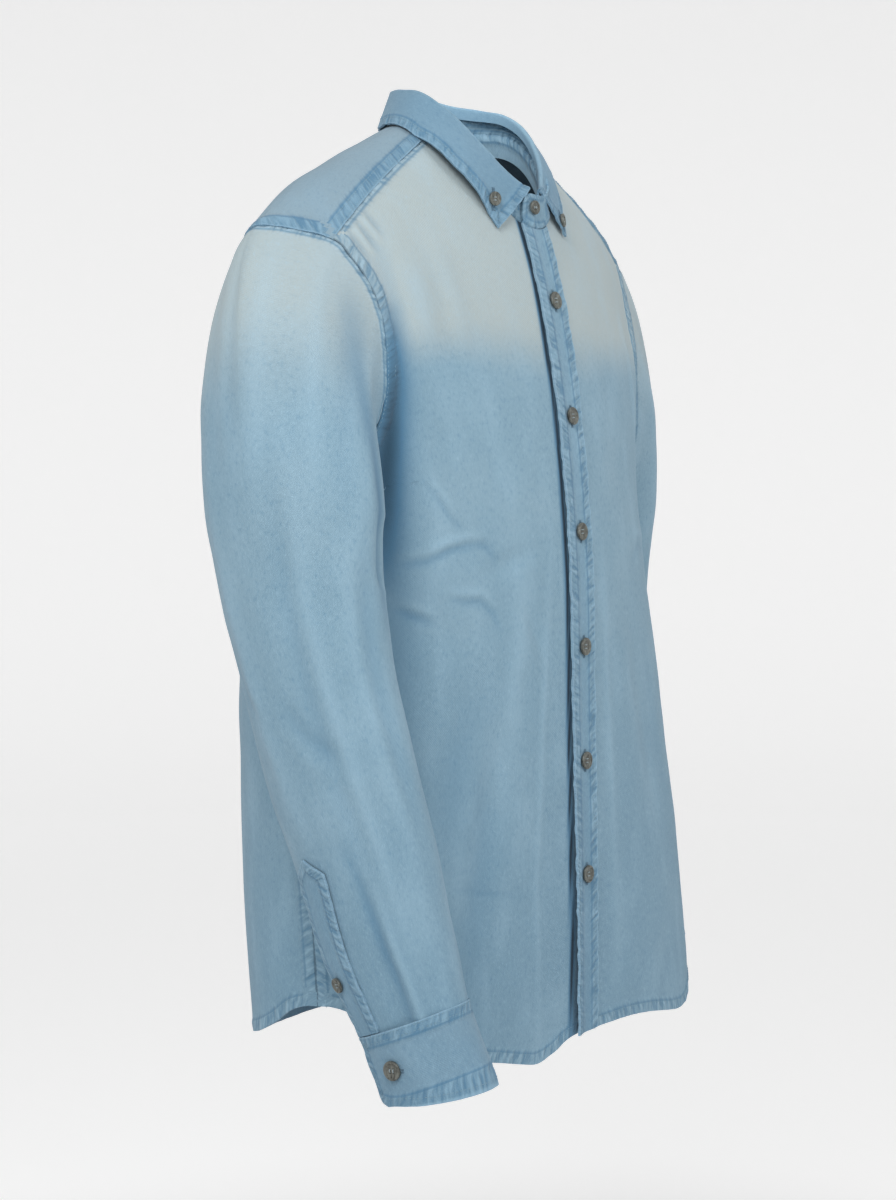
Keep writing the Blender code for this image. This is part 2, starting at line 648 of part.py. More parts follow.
def cap_point(side, k, t):
    """From point k of the armhole (t = 0) to the sleeve's first level section (t = 1)."""
    start = armhole(side, k)
    turn = 360 * k / ARMHOLE_POINTS
    end = sleeve_point(side, turn, SLEEVE_TOP)
    _, down, _, _ = arm_axis(side, SLEEVE_TOP)
    high = (1 + math.cos(math.radians(turn))) / 2
    leaving = np.array((side * mix(0.75, 1.0, high), 0.0, mix(-0.65, -0.55, high)))
    leaving /= np.linalg.norm(leaving)
    reach = np.linalg.norm(end - start)
    h0, h1 = leaving * reach * mix(1.0, 0.55, high), down * reach * mix(0.9, 1.1, high)
    return ((2 * t**3 - 3 * t**2 + 1) * start + (t**3 - 2 * t**2 + t) * h0
            + (3 * t**2 - 2 * t**3) * end + (t**3 - t**2) * h1)


def sleeve_grid(side):
    grid = [[cap_point(side, k, i / CAP_ROWS) for k in range(ARMHOLE_POINTS)] for i in range(CAP_ROWS)]
    for i in range(ARM_SECTIONS + 1):
        z = mix(SLEEVE_TOP, SLEEVE_END, i / ARM_SECTIONS)
        grid.append([sleeve_point(side, 360 * k / ARMHOLE_POINTS, z) for k in range(ARMHOLE_POINTS)])
    return grid


def make_sleeve(side, name):
    grid = inset(sleeve_grid(side), "first", "last")
    heart = grid.mean(axis=1, keepdims=True)
    wall(f"sleeve_{name}", grid, WALL, heart, FADED, closed=True)


# ---- sleeve plackets and cuffs -------------------------------------------------------------------
SLIT_TURN = 338            # middle of the sleeve placket, in degrees round the sleeve
SLIT_HALF = 18             # half its width, in degrees
SLIT_TOP = -0.542
SLIT_POINT = 0.012         # height of its pointed end
SLIT_ROWS = 8


def slit_grid(side):
    grid = []
    for i in range(SLIT_ROWS + 1):
        row = []
        for j in range(5):
            w = j / 2 - 1
            top = SLIT_TOP + SLIT_POINT * (1 - abs(w))
            z = mix(top, SLEEVE_END + LAY_GAP, i / SLIT_ROWS)
            row.append(sleeve_point(side, SLIT_TURN + SLIT_HALF * w, z))
        grid.append(row)
    return moved_out(grid, DOUBLE_WALL + LAY_GAP, arm_axis(side, SLIT_TOP)[0])


def make_sleeve_placket(side, name):
    wall(f"sleeve_placket_{name}", slit_grid(side), DOUBLE_WALL, arm_axis(side, SLIT_TOP)[0], DENIM)


CUFF_START = 14            # the under end, in degrees round the wrist; it goes back from there
CUFF_TURN = 412            # it goes this far round, so its over end laps the under end
CUFF_COLUMNS = 28
CUFF_ROWS = 3
CUFF_CORNER = 0.009
CUFF_LAP_STARTS, CUFF_LAP_FULL = 300, 350
CUFF_PROUD = 0.0012         # how far the cuff stands out past the sleeve


def cuff_grid(side):
    grid = []
    for i in range(CUFF_ROWS + 1):
        row = []
        for j in range(CUFF_COLUMNS + 1):
            gone = CUFF_TURN * j / CUFF_COLUMNS
            lap = (DOUBLE_WALL + LAY_GAP) * ease((gone - CUFF_LAP_STARTS) / (CUFF_LAP_FULL - CUFF_LAP_STARTS))
            to_end = math.radians(min(gone, CUFF_TURN - gone)) * WRIST_RADIUS
            end = CUFF_END[side] + rounded(CUFF_CORNER, to_end)
            z = mix(SLEEVE_END - SEAM_GAP, end, i / CUFF_ROWS)
            point = sleeve_point(side, CUFF_START - gone, z)
            away = point - arm_axis(side, z)[0]
            row.append(point + away / np.linalg.norm(away) * (lap + CUFF_PROUD))
        grid.append(row)
    return np.array(grid)


def make_cuff(side, name):
    wall(f"cuff_{name}", cuff_grid(side), DOUBLE_WALL, arm_axis(side, -0.70)[0], DENIM)


# ---- buttons -------------------------------------------------------------------------------------
BUTTON_RADIUS = 0.007
SMALL_RADIUS = 0.0055
BUTTON_SIDES = 12
BUTTON_THICK = 0.0026
STAND_BUTTON_UP = 0.55
STAND_BUTTON_TURN = -5       # degrees round the neck
FIRST_BUTTON = -0.1435       # height of the placket's first button, and the step to the next
BUTTON_STEP = -0.0895
PLACKET_BUTTONS = 6


def button(name, place, facing, radius=BUTTON_RADIUS):
    """A turned disc with a raised rim, resting a seam gap off what it is sewn to."""
    facing = facing / np.linalg.norm(facing)
    up = np.array((0, 0, 1.0))
    aside = np.cross(up, facing)
    aside /= np.linalg.norm(aside)
    up = np.cross(facing, aside)
    rings = [(0.80, 0.0), (1.0, 0.35), (1.0, 0.75), (0.86, 1.0), (0.62, 0.72)]
    base = place + facing * LAY_GAP
    points, faces = [base], []
    for reach, rise in rings:
        for k in range(BUTTON_SIDES):
            a = 2 * math.pi * k / BUTTON_SIDES
            points.append(base + facing * BUTTON_THICK * rise
                          + (aside * math.cos(a) + up * math.sin(a)) * radius * reach)
    points.append(base + facing * BUTTON_THICK * 0.72)
    for k in range(BUTTON_SIDES):
        n = (k + 1) % BUTTON_SIDES
        faces.append((0, 1 + n, 1 + k))
        for r in range(len(rings) - 1):
            a, b = 1 + r * BUTTON_SIDES, 1 + (r + 1) * BUTTON_SIDES
            faces.append((a + k, a + n, b + n, b + k))
        last = 1 + (len(rings) - 1) * BUTTON_SIDES
        faces.append((last + k, last + n, len(points) - 1))
    return build(name, points, faces, HORN)


def seated(name, grid, i, j, heart, radius=BUTTON_RADIUS):
    """A button on a panel, between its points, clear of the highest of the points under it."""
    grid = np.array(grid)
    rows, columns = slice(i, i + 2), slice(j, j + 2)
    facing = normals(grid, False, heart)[rows, columns].sum(axis=(0, 1))
    facing /= np.linalg.norm(facing)
    spot = grid[rows, columns].mean(axis=(0, 1))
    away = grid.reshape(-1, 3) - spot
    rise = away @ facing
    aside = np.linalg.norm(away - np.outer(rise, facing), axis=1)
    under = (aside < 1.5 * radius) & (np.abs(rise) < radius)
    button(name, spot + facing * max(0.0, *rise[under]), facing, radius)


def make_buttons():
    lift = DOUBLE_WALL + LAY_GAP
    front = np.array((0, -1.0, 0))
    for n in range(PLACKET_BUTTONS):
        z = FIRST_BUTTON + BUTTON_STEP * n
        slope = body(0, z + 0.01, False) - body(0, z - 0.01, False)
        facing = np.cross(slope, np.array((1.0, 0, 0)))
        facing *= math.copysign(1, facing @ front)
        facing /= np.linalg.norm(facing)
        button(f"button_front_{n + 1}", body(0, z, False) + facing * lift, facing)
    low, high = stand_point(STAND_BUTTON_TURN, 0.2, lift), stand_point(STAND_BUTTON_TURN, 0.9, lift)
    aside = neck(STAND_BUTTON_TURN + 5) - neck(STAND_BUTTON_TURN - 5)
    facing = np.cross(high - low, aside)
    facing *= math.copysign(1, facing @ front)
    button("button_stand", mix(low, high, STAND_BUTTON_UP), facing, SMALL_RADIUS)
    leaf, inside = leaf_grid(), np.array((0, NECK_MIDDLE, -0.05))
    seated("button_collar_left", leaf, 0, -3, inside, SMALL_RADIUS)
    seated("button_collar_right", leaf, -3, -3, inside, SMALL_RADIUS)
    for side, name in ((RIGHT, "right"), (LEFT, "left")):
        seated(f"button_sleeve_{name}", slit_grid(side), 5, 1, arm_axis(side, SLIT_TOP)[0], SMALL_RADIUS)
        seated(f"button_cuff_{name}", cuff_grid(side), 1, -4, arm_axis(side, CUFF_END[side])[0])


def make():
    for thing in list(bpy.data.objects):
        bpy.data.objects.remove(thing, do_unlink=True)
    make_back()
    make_yoke()
    make_fronts()
    make_placket()
    make_stand()
    make_collar()
    for side, name in ((RIGHT, "right"), (LEFT, "left")):
        make_sleeve(side, name)
        make_sleeve_placket(side, name)
        make_cuff(side, name)
    make_buttons()


make()
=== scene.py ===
"""A long-sleeved button-down shirt of light washed denim, filled out as if worn, hanging in a pale studio.

Metres, +Z up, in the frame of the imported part: the wearer faces -Y and the wearer's right is -X. Each
panel of cloth is a thin shell on the form of its solid, with its creases, seams and stitching.
"""
import math

import bmesh
import bpy
import numpy as np
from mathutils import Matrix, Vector
from mathutils.bvhtree import BVHTree
from mathutils.kdtree import KDTree


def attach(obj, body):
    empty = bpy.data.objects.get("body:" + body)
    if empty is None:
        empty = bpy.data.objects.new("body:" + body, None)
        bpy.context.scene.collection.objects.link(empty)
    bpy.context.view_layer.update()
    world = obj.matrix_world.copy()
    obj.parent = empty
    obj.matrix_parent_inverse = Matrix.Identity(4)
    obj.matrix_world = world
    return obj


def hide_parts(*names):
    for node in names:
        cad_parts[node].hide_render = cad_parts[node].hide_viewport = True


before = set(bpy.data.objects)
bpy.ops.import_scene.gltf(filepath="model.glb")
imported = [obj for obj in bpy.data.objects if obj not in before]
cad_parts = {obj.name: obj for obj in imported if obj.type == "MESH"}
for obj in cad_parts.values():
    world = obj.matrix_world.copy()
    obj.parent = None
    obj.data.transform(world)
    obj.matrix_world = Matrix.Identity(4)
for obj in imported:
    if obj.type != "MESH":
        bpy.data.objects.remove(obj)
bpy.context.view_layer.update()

# ---- the two fronts ------------------------------------------------------------------------------
# Left and right front of light denim, bleached over the chest by hand after sewing. Each is cut to the
# armhole, sewn into the yoke and the side seam, and turned up twice at the curved hem.
RIGHT, LEFT = -1, 1            # the wearer's sides along X
WALL = 0.0012                  # one layer of denim
ARMPIT = -0.285
HEM_LEVEL = -0.72              # roughly, at the middle of the front
SHOULDER_HALF = 0.247
FRONT_SLOPE, BACK_SLOPE = 0.42, 0.308
RIDGE_TOP, RIDGE_FALL, RIDGE_ROUND = 0.0145, 0.4506, 0.03      # the line along the tops of the shoulders
NAPE_RISE, THROAT_RISE = 0.006, -0.001
DROOP, DROOP_START = 2.4, 0.17                                 # how the line bends down past this x
NECK_HALF_WIDTH, NECK_HALF_DEPTH, NECK_MIDDLE = 0.066, 0.063, -0.003
LAP_EDGE = 0.0152              # the right front ends this far past the middle, under the placket
YOKE_TURN = 80                 # where the yoke's front seam meets the neck seam, in degrees
SIDE_ROWS, ARM_ROWS, NECK_ROWS = 14, 10, 5


def table(columns, *rows):
    """Named columns of numbers, sorted by the first one."""
    data = np.array(sorted(rows), dtype=float)
    return {name: data[:, i] for i, name in enumerate(columns.split())}


def curved(t, a, b, leaving, arriving):
    """From a (t = 0) to b (t = 1) on a smooth curve with these slopes at its ends."""
    return ((2 * t**3 - 3 * t**2 + 1) * a + (t**3 - 2 * t**2 + t) * leaving
            + (3 * t**2 - 2 * t**3) * b + (t**3 - t**2) * arriving)


def read(rows, key, column):
    """A column's values at keys between two rows, on a smooth curve."""
    keys, values = next(iter(rows.values())), rows[column]
    slopes = np.gradient(values, keys)
    key = np.clip(key, keys[0], keys[-1])
    i = np.clip(np.searchsorted(keys, key, side="right") - 1, 0, len(keys) - 2)
    width = keys[i + 1] - keys[i]
    return curved((key - keys[i]) / width, values[i], values[i + 1], width * slopes[i], width * slopes[i + 1])


def mix(a, b, t):
    return a + (b - a) * t


def ease(t):
    """0 to 1 with a soft start and a soft end."""
    t = np.clip(t, 0.0, 1.0)
    return t * t * (3 - 2 * t)


def unit(v):
    """Vectors made one metre long."""
    return v / np.maximum(np.linalg.norm(v, axis=-1, keepdims=True), 1e-12)


def bell(value, at, width):
    """1 where the value is at the place given, falling off softly on both sides."""
    return np.exp(-(((value - at) / width) ** 2))


BODY = table(
    "height half_width sway middle front back square",
    (0.02, 0.262, 0.000, 0.012, 0.120, 0.128, 2.3),
    (-0.12, 0.258, 0.000, 0.012, 0.120, 0.128, 2.3),
    (-0.20, 0.236, 0.000, 0.012, 0.120, 0.128, 2.3),
    (-0.285, 0.210, 0.000, 0.010, 0.118, 0.130, 2.3),
    (-0.36, 0.213, 0.000, 0.006, 0.115, 0.132, 2.3),
    (-0.45, 0.222, 0.003, -0.001, 0.109, 0.133, 2.4),
    (-0.60, 0.232, 0.006, -0.018, 0.095, 0.132, 2.8),
    (-0.76, 0.240, 0.008, -0.036, 0.078, 0.122, 3.1),
)
# Large soft folds from one point of a face to another: ridges where out is positive, otherwise troughs.
FOLDS = (
    # back, x0, z0, x1, z1, width, out
    (False, -0.205, -0.120, -0.150, -0.235, 0.012, 0.0035),
    (False, -0.178, -0.235, -0.190, -0.370, 0.011, -0.0040),
    (False, -0.110, -0.350, -0.060, -0.335, 0.008, -0.0025),
    (False, -0.075, -0.375, -0.045, -0.420, 0.008, -0.0025),
    (False, -0.085, -0.440, -0.140, -0.600, 0.016, -0.0040),
    (False, 0.200, -0.125, 0.150, -0.240, 0.012, 0.0030),
    (False, 0.180, -0.250, 0.185, -0.390, 0.012, -0.0035),
    (False, 0.090, -0.400, 0.135, -0.560, 0.016, -0.0035),
    (True, -0.190, -0.180, -0.150, -0.420, 0.016, 0.0035),
    (True, 0.190, -0.190, 0.155, -0.400, 0.016, 0.0035),
    (True, -0.080, -0.330, -0.110, -0.640, 0.018, -0.0040),
    (True, 0.070, -0.360, 0.100, -0.620, 0.018, -0.0040),
)


def folds(x, z, back):
    """How far the large folds move a point of the front or the back out."""
    total = 0.0
    for on_back, x0, z0, x1, z1, width, out in FOLDS:
        run_x, run_z = x1 - x0, z1 - z0
        along = np.clip(((x - x0) * run_x + (z - z0) * run_z) / (run_x**2 + run_z**2), 0, 1)
        away = np.hypot(x - x0 - along * run_x, z - z0 - along * run_z)
        lengthwise = np.sin(math.pi * mix(0.12, 0.88, along))
        total = total + (back == on_back) * out * bell(away, 0, width) * lengthwise
    return total


def ridge(x, back):
    """Height of the line along the tops of the shoulders."""
    fall = RIDGE_FALL * (np.hypot(x, RIDGE_ROUND) - RIDGE_ROUND)
    rise = np.where(back, NAPE_RISE, THROAT_RISE) * np.maximum(0, 1 - (x / NECK_HALF_WIDTH) ** 2) ** 2
    return RIDGE_TOP - fall + rise - DROOP * np.maximum(0, abs(x) - DROOP_START) ** 2


def across(x, z):
    """How much of its full depth the body has at x: 1 at the middle, 0 at the side."""
    square = read(BODY, z, "square")
    reach = abs(x - read(BODY, z, "sway")) / read(BODY, z, "half_width")
    return np.maximum(1e-9, 1 - reach**square) ** (1 / square)


def body(x, z, back):
    """Points of the body's form at x and z, on its front or its back."""
    drop = np.clip((ridge(x, back) - z) / np.where(back, BACK_SLOPE, FRONT_SLOPE), 0, 1)
    full = np.where(back, read(BODY, z, "back"), read(BODY, z, "front"))
    depth = (full * np.sqrt(1 - (1 - drop) ** 2) + folds(x, z, back)) * across(x, z)
    y = read(BODY, z, "middle") + np.where(back, depth, -depth)
    return np.stack(np.broadcast_arrays(x, y, z), axis=-1)


def body_height(x, y):
    """Height of the form's upper part over points in plan."""
    back = y > BODY["middle"][-1]
    slope = np.where(back, BACK_SLOPE, FRONT_SLOPE)
    z = ridge(x, back)
    for _ in range(8):
        full = np.where(back, read(BODY, z, "back"), read(BODY, z, "front")) * across(x, z)
        reach = abs(y - read(BODY, z, "middle")) / full
        z = ridge(x, back) - slope * (1 - np.sqrt(1 - np.minimum(reach, 1) ** 2))
    return z


def around(x, z):
    """Turn round the body's section, 0 at the middle and a right angle at the side, of points at x."""
    x = x - read(BODY, z, "sway")
    reach = np.minimum(abs(x) / read(BODY, z, "half_width"), 1)
    return np.sign(x) * np.arcsin(reach ** (read(BODY, z, "square") / 2))


def across_at(turn, z):
    """The x of a turn round the body's section: the opposite of around()."""
    reach = read(BODY, z, "half_width") * abs(np.sin(turn)) ** (2 / read(BODY, z, "square"))
    return read(BODY, z, "sway") + np.sign(turn) * reach


def neck(turn):
    """The neck seam, at degrees from the middle of the front towards +X."""
    x = NECK_HALF_WIDTH * np.sin(np.radians(turn))
    y = NECK_MIDDLE - NECK_HALF_DEPTH * np.cos(np.radians(turn))
    return np.stack(np.broadcast_arrays(x, y, body_height(x, y)), axis=-1)


ARMHOLE_BOW = table(
    "turn front back",
    (0, 0.0, 0.0), (15, 0.0170, 0.0000), (30, 0.0410, 0.0010), (45, 0.0470, 0.0060),
    (60, 0.0525, 0.0140), (90, 0.0490, 0.0240), (120, 0.0364, 0.0205), (150, 0.0122, 0.0075),
    (165, 0.0034, 0.0020), (180, 0.0, 0.0),
)
ARMHOLE_POINTS, ARMHOLE_STEEP = 24, 1.15


def armhole(side, k):
    """Points of the armhole: 0 at the top, then down the front to the armpit and up the back."""
    turn = 360 * np.mod(k, ARMHOLE_POINTS) / ARMHOLE_POINTS
    back = turn > 180
    down = ((1 - np.cos(np.radians(turn))) / 2) ** ARMHOLE_STEEP
    z = mix(ridge(SHOULDER_HALF, False), ARMPIT, down)
    x = mix(SHOULDER_HALF, read(BODY, ARMPIT, "half_width"), down)
    folded = np.where(back, 360 - turn, turn)
    x = x - np.where(back, read(ARMHOLE_BOW, folded, "back"), read(ARMHOLE_BOW, folded, "front"))
    return body(side * x, z, back)


# Height of the hem round each half, from the middle of the front to the middle of the back.
HEM = table(
    "turn right left",
    (0, -0.7155, -0.7170), (3, -0.7180, -0.7174), (6, -0.7240, -0.7182), (10, -0.7275, -0.7200),
    (15, -0.7235, -0.7228), (20, -0.7185, -0.7262), (26, -0.7135, -0.7303), (34, -0.7080, -0.7340),
    (50, -0.6940, -0.7280), (68, -0.6720, -0.7020),
    (80, -0.6640, -0.6700), (90, -0.6625, -0.6625), (95, -0.6680, -0.6680), (100, -0.6775, -0.6775),
    (110, -0.6895, -0.6895), (120, -0.6960, -0.6960), (130, -0.7010, -0.7010), (145, -0.7070, -0.7070),
    (160, -0.7095, -0.7095), (180, -0.7125, -0.7125),
)


def hem(turn, side):
    return read(HEM, np.degrees(turn), "right" if side == RIGHT else "left")


def front(side, edge_x, i, w):
    """Points of a front: i runs from the hem (0) to the yoke seam (24), w from edge (0) to side (1)."""
    rows = SIDE_ROWS + ARM_ROWS
    edge_turn = side * math.degrees(math.asin(edge_x / NECK_HALF_WIDTH))
    hem_z = hem(abs(around(np.float64(side * edge_x), HEM_LEVEL)), side)
    up = i / (rows - NECK_ROWS)
    on_neck = neck(mix(edge_turn, side * YOKE_TURN, np.clip((i - rows + NECK_ROWS) / NECK_ROWS, 0, 1)))
    x0 = np.where(up <= 1, side * edge_x, on_neck[..., 0])
    z0 = np.where(up <= 1, mix(hem_z, neck(edge_turn)[2], np.minimum(up, 1)), on_neck[..., 2])
    side_z = mix(hem(math.pi / 2, side), ARMPIT, np.minimum(i / SIDE_ROWS, 1))
    on_arm = armhole(side, ARMHOLE_POINTS / 2 - np.maximum(i - SIDE_ROWS, 0))
    x1 = np.where(i <= SIDE_ROWS, across_at(side * math.pi / 2, side_z), on_arm[..., 0])
    z1 = np.where(i <= SIDE_ROWS, side_z, on_arm[..., 2])
    low = np.maximum(0, 1 - i / SIDE_ROWS)
    level = mix(1.0, 3.0, np.minimum(i / SIDE_ROWS, (rows - i) / ARM_ROWS))
    a, b = around(x0, z0), around(x1, z1)
    turn = mix(a, b, w)
    gone = 1 - (1 - w) ** level
    bend = hem(abs(turn), side) - mix(hem(abs(a), side), hem(abs(b), side), gone)
    z = mix(z0, z1, gone) + bend * low
    return body(across_at(turn, z), z, False)


def cloud(a, b, size, seed):
    """Smooth random heights from -1 to 1 over a plane, with lumps of about that size."""
    cells = 64
    lattice = np.random.default_rng(seed).uniform(-1, 1, (cells, cells))
    a, b = np.asarray(a) / size + 17.3, np.asarray(b) / size + 9.1
    i, j = np.floor(a).astype(int), np.floor(b).astype(int)
    u, v = ease(a - i), ease(b - j)
    low, high = (mix(lattice[i % cells, n % cells], lattice[(i + 1) % cells, n % cells], u)
                 for n in (j, j + 1))
    return mix(low, high, v)


def creased(a, b, creases):
    """Height and shade of creases over a plane: rows of width, out, shade, then points."""
    height, shade = np.zeros(np.shape(a)), np.zeros(np.shape(a))
    for width, out, tone, *points in creases:
        points = np.array(points, float)
        steps = np.linalg.norm(np.diff(points, axis=0), axis=1)
        start = np.concatenate([[0], np.cumsum(steps)]) / steps.sum()
        near, at = np.full(np.shape(a), 9.0), np.zeros(np.shape(a))
        for n, (p, q) in enumerate(zip(points[:-1], points[1:])):
            run = q - p
            t = np.clip(((a - p[0]) * run[0] + (b - p[1]) * run[1]) / (run @ run), 0, 1)
            gap = np.hypot(a - p[0] - t * run[0], b - p[1] - t * run[1])
            at = np.where(gap < near, mix(start[n], start[n + 1], t), at)
            near = np.minimum(gap, near)
        fade = np.sin(math.pi * mix(0.06, 0.94, at)) ** 0.7
        form = bell(near, 0, width) * fade
        height += out * form
        shade += tone * form
    return height, shade


def along(curve):
    """Length along a curve up to each of its points."""
    return np.concatenate([[0], np.cumsum(np.linalg.norm(np.diff(curve, axis=0), axis=1))])


def even(curve, step):
    """A curve's points at even steps."""
    gone = along(curve)
    at = np.linspace(0, gone[-1], max(2, round(gone[-1] / step)))
    return np.stack([np.interp(at, gone, curve[:, n]) for n in range(3)], axis=1)


def near_seam(points, *curves):
    """For each curve: how far along it each point of a grid is, and how far from it."""
    maps, start, step = [], 0.0, 0.0008
    for curve in curves:
        curve = even(curve, step)
        tree, gone = KDTree(len(curve)), along(curve)
        for n, p in enumerate(curve):
            tree.insert(p, n)
        tree.balance()
        found = np.array([tree.find(p)[1:] for p in points.reshape(-1, 3)])
        maps.append((start + gone[found[:, 0].astype(int)].reshape(points.shape[:-1]),
                     found[:, 1].reshape(points.shape[:-1])))
        start += gone[-1] + 1.0
    return maps


def nearest(*maps):
    """The nearest of several seams: how far along it and how far away."""
    run, away = maps[0]
    for more_run, more_away in maps[1:]:
        run, away = np.where(more_away < away, more_run, run), np.minimum(more_away, away)
    return run, away


def outward(grid, heart, closed=False):
    """Unit normals of a grid of points, pointing away from the heart."""
    if closed:
        side = np.roll(grid, -1, axis=1) - np.roll(grid, 1, axis=1)
    else:
        side = np.gradient(grid, axis=1)
    out = unit(np.cross(side, np.gradient(grid, axis=0)))
    rows = np.arange(len(out))
    calm = unit(out[(rows - 2).clip(0)] + out[(rows + 2).clip(None, len(out) - 1)])
    out = np.where((out * calm).sum(axis=2, keepdims=True) < 0.7, calm, out)
    return out if (out * (grid - heart)).sum() > 0 else -out


def raised(grid, heart, height, closed=False):
    """A grid of points moved out along its own normals."""
    return grid + outward(grid, heart, closed) * np.asarray(height)[..., None]


def rim(grid):
    """The points all round a grid's edge."""
    return np.concatenate([grid[:, 0], grid[-1], grid[::-1, -1], grid[0, ::-1]])


surfaces = {}                   # each panel's outer side, for what is sewn onto it


def placed(name, data):
    """Puts a mesh, a lamp or a camera into the scene."""
    thing = bpy.data.objects.new(name, data)
    bpy.context.scene.collection.objects.link(thing)
    return thing


def cloth(name, grid, heart, thick, finish, seam, bleach=0.0, shade=0.0, warp=None, closed=False):
    """A panel: a closed shell whose outer side is the grid, with its weave, seams, bleaching and painted
    shade stored on it.
    """
    rows, columns = grid.shape[:2]
    count = rows * columns
    out = outward(grid, heart, closed)
    thick = np.broadcast_to(thick, grid.shape[:2])[..., None]
    points = np.concatenate([grid.reshape(-1, 3), (grid - out * thick).reshape(-1, 3)])
    spans = columns if closed else columns - 1
    i, j = np.meshgrid(np.arange(rows - 1), np.arange(spans), indexing="ij")
    k = (j + 1) % columns
    a, b, c, d = ((row * columns + column).ravel()
                  for row, column in ((i, j), (i, k), (i + 1, k), (i + 1, j)))
    outer = np.stack([a, b, c, d], axis=1)
    inner = np.stack([a, d, c, b], axis=1) + count
    last_row = (rows - 1) * columns
    rims = [(k[0], j[0]), (last_row + j[0], last_row + k[0])]
    if not closed:
        left = np.arange(rows - 1) * columns
        rims += [(left, left + columns), (left + 2 * columns - 1, left + columns - 1)]
    faces = np.concatenate([outer, inner, *(np.stack([p, q, q + count, p + count], axis=1) for p, q in rims)])
    sample = faces[len(outer) // 2]
    corner = points[sample]
    if np.cross(corner[1] - corner[0], corner[3] - corner[0]) @ out.reshape(-1, 3)[sample[0]] < 0:
        faces = faces[:, ::-1]
    mesh = bpy.data.meshes.new(name)
    mesh.from_pydata(points.tolist(), [], faces.tolist())
    for material in finish:
        mesh.materials.append(material)
    slots = np.zeros(len(faces), dtype=np.int32)
    slots[len(outer):2 * len(outer)] = 1
    mesh.polygons.foreach_set("material_index", slots)
    loops = np.empty(len(mesh.loops), dtype=np.int32)
    mesh.loops.foreach_get("vertex_index", loops)

    def on_corners(a, b):
        pairs = np.stack(np.broadcast_arrays(a, b), axis=-1).reshape(-1, 2)
        return np.concatenate([pairs, pairs])[loops].reshape(-1, 4, 2)

    if warp is None:
        wide = np.linalg.norm(np.diff(grid, axis=1), axis=2).mean(axis=0)
        high = np.linalg.norm(np.diff(grid, axis=0), axis=2).mean(axis=1)
        warp = np.concatenate([[0], np.cumsum(wide)]), np.concatenate([[0], np.cumsum(high)])[:, None]
    weave, place = on_corners(*warp), on_corners(*seam)
    if closed:
        whole = warp[0].max() + np.median(np.diff(warp[0][0]))
        parted = np.ptp(weave[:, :, 0], axis=1) > whole / 2
        at = weave[parted, :, 0]
        weave[parted, :, 0] = np.where(at < whole / 2, at + whole, at)
    place[np.ptp(place[:, :, 0], axis=1) > 0.02, :, 1] = 1.0      # the mitre between two seams stays plain
    for label, values in (("cloth", weave), ("seam", place)):
        mesh.uv_layers.new(name=label).data.foreach_set("uv", values.astype(np.float32).ravel())
    for label, values in (("bleach", bleach), ("shade", shade)):
        values = np.broadcast_to(values, (rows, columns)).ravel()
        mesh.attributes.new(label, "FLOAT", "POINT").data.foreach_set(
            "value", np.concatenate([values, values]).astype(np.float32))
    mesh.validate()
    mesh.shade_smooth()
    mesh.set_sharp_from_angle(angle=math.radians(60))
    piece = placed(name, mesh)
    surfaces[name] = BVHTree.FromPolygons(points[:count].tolist(), outer.tolist())
    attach(piece, "root")
    return piece


threads = {"pale": [], "dark": []}      # where each stitch is, how it faces and which way it runs


def sew(panel, curve, *distances, step=0.0031):
    """Rows of stitches on a panel, running beside a curve at distances from it."""
    surface, off_cloth, lift = surfaces[panel], 0.0016, 0.0001
    curve = even(np.asarray(curve), step)
    face = np.array([surface.find_nearest(p)[1] for p in curve])
    aside = unit(np.cross(np.gradient(curve, axis=0), face))
    left, right = (sum(surface.find_nearest(p)[3] for p in curve + aside * way * 0.006) for way in (1, -1))
    if right < left:
        aside = -aside
    for distance in distances:
        row = curve + aside * distance
        found = [surface.find_nearest(p) for p in row]
        ways = np.gradient(np.array([hit[0] for hit in found]), axis=0)
        for p, hit, way in zip(row, found, ways):
            gap = p - np.array(hit[0])
            if gap @ gap < off_cloth**2 and way @ way > 1e-9:
                threads["pale"].append((hit[0] + hit[1] * lift, hit[1], way))


def connect(tree, node, links):
    """Sets a node's inputs to values, or links them where the value is another node's socket."""
    for key, value in dict(links).items():
        if isinstance(value, bpy.types.NodeSocket):
            tree.links.new(value, node.inputs[key])
        else:
            node.inputs[key].default_value = value


def put(tree, kind, links=(), **settings):
    """Adds a node with these inputs; settings name its properties."""
    node = tree.nodes.new(kind)
    for key, value in settings.items():
        setattr(node, key, value)
    connect(tree, node, links)
    return node


def bare(name):
    """A new material, its tree and its shader."""
    material = bpy.data.materials.new(name)
    material.use_nodes = True
    return material, material.node_tree, material.node_tree.nodes["Principled BSDF"]


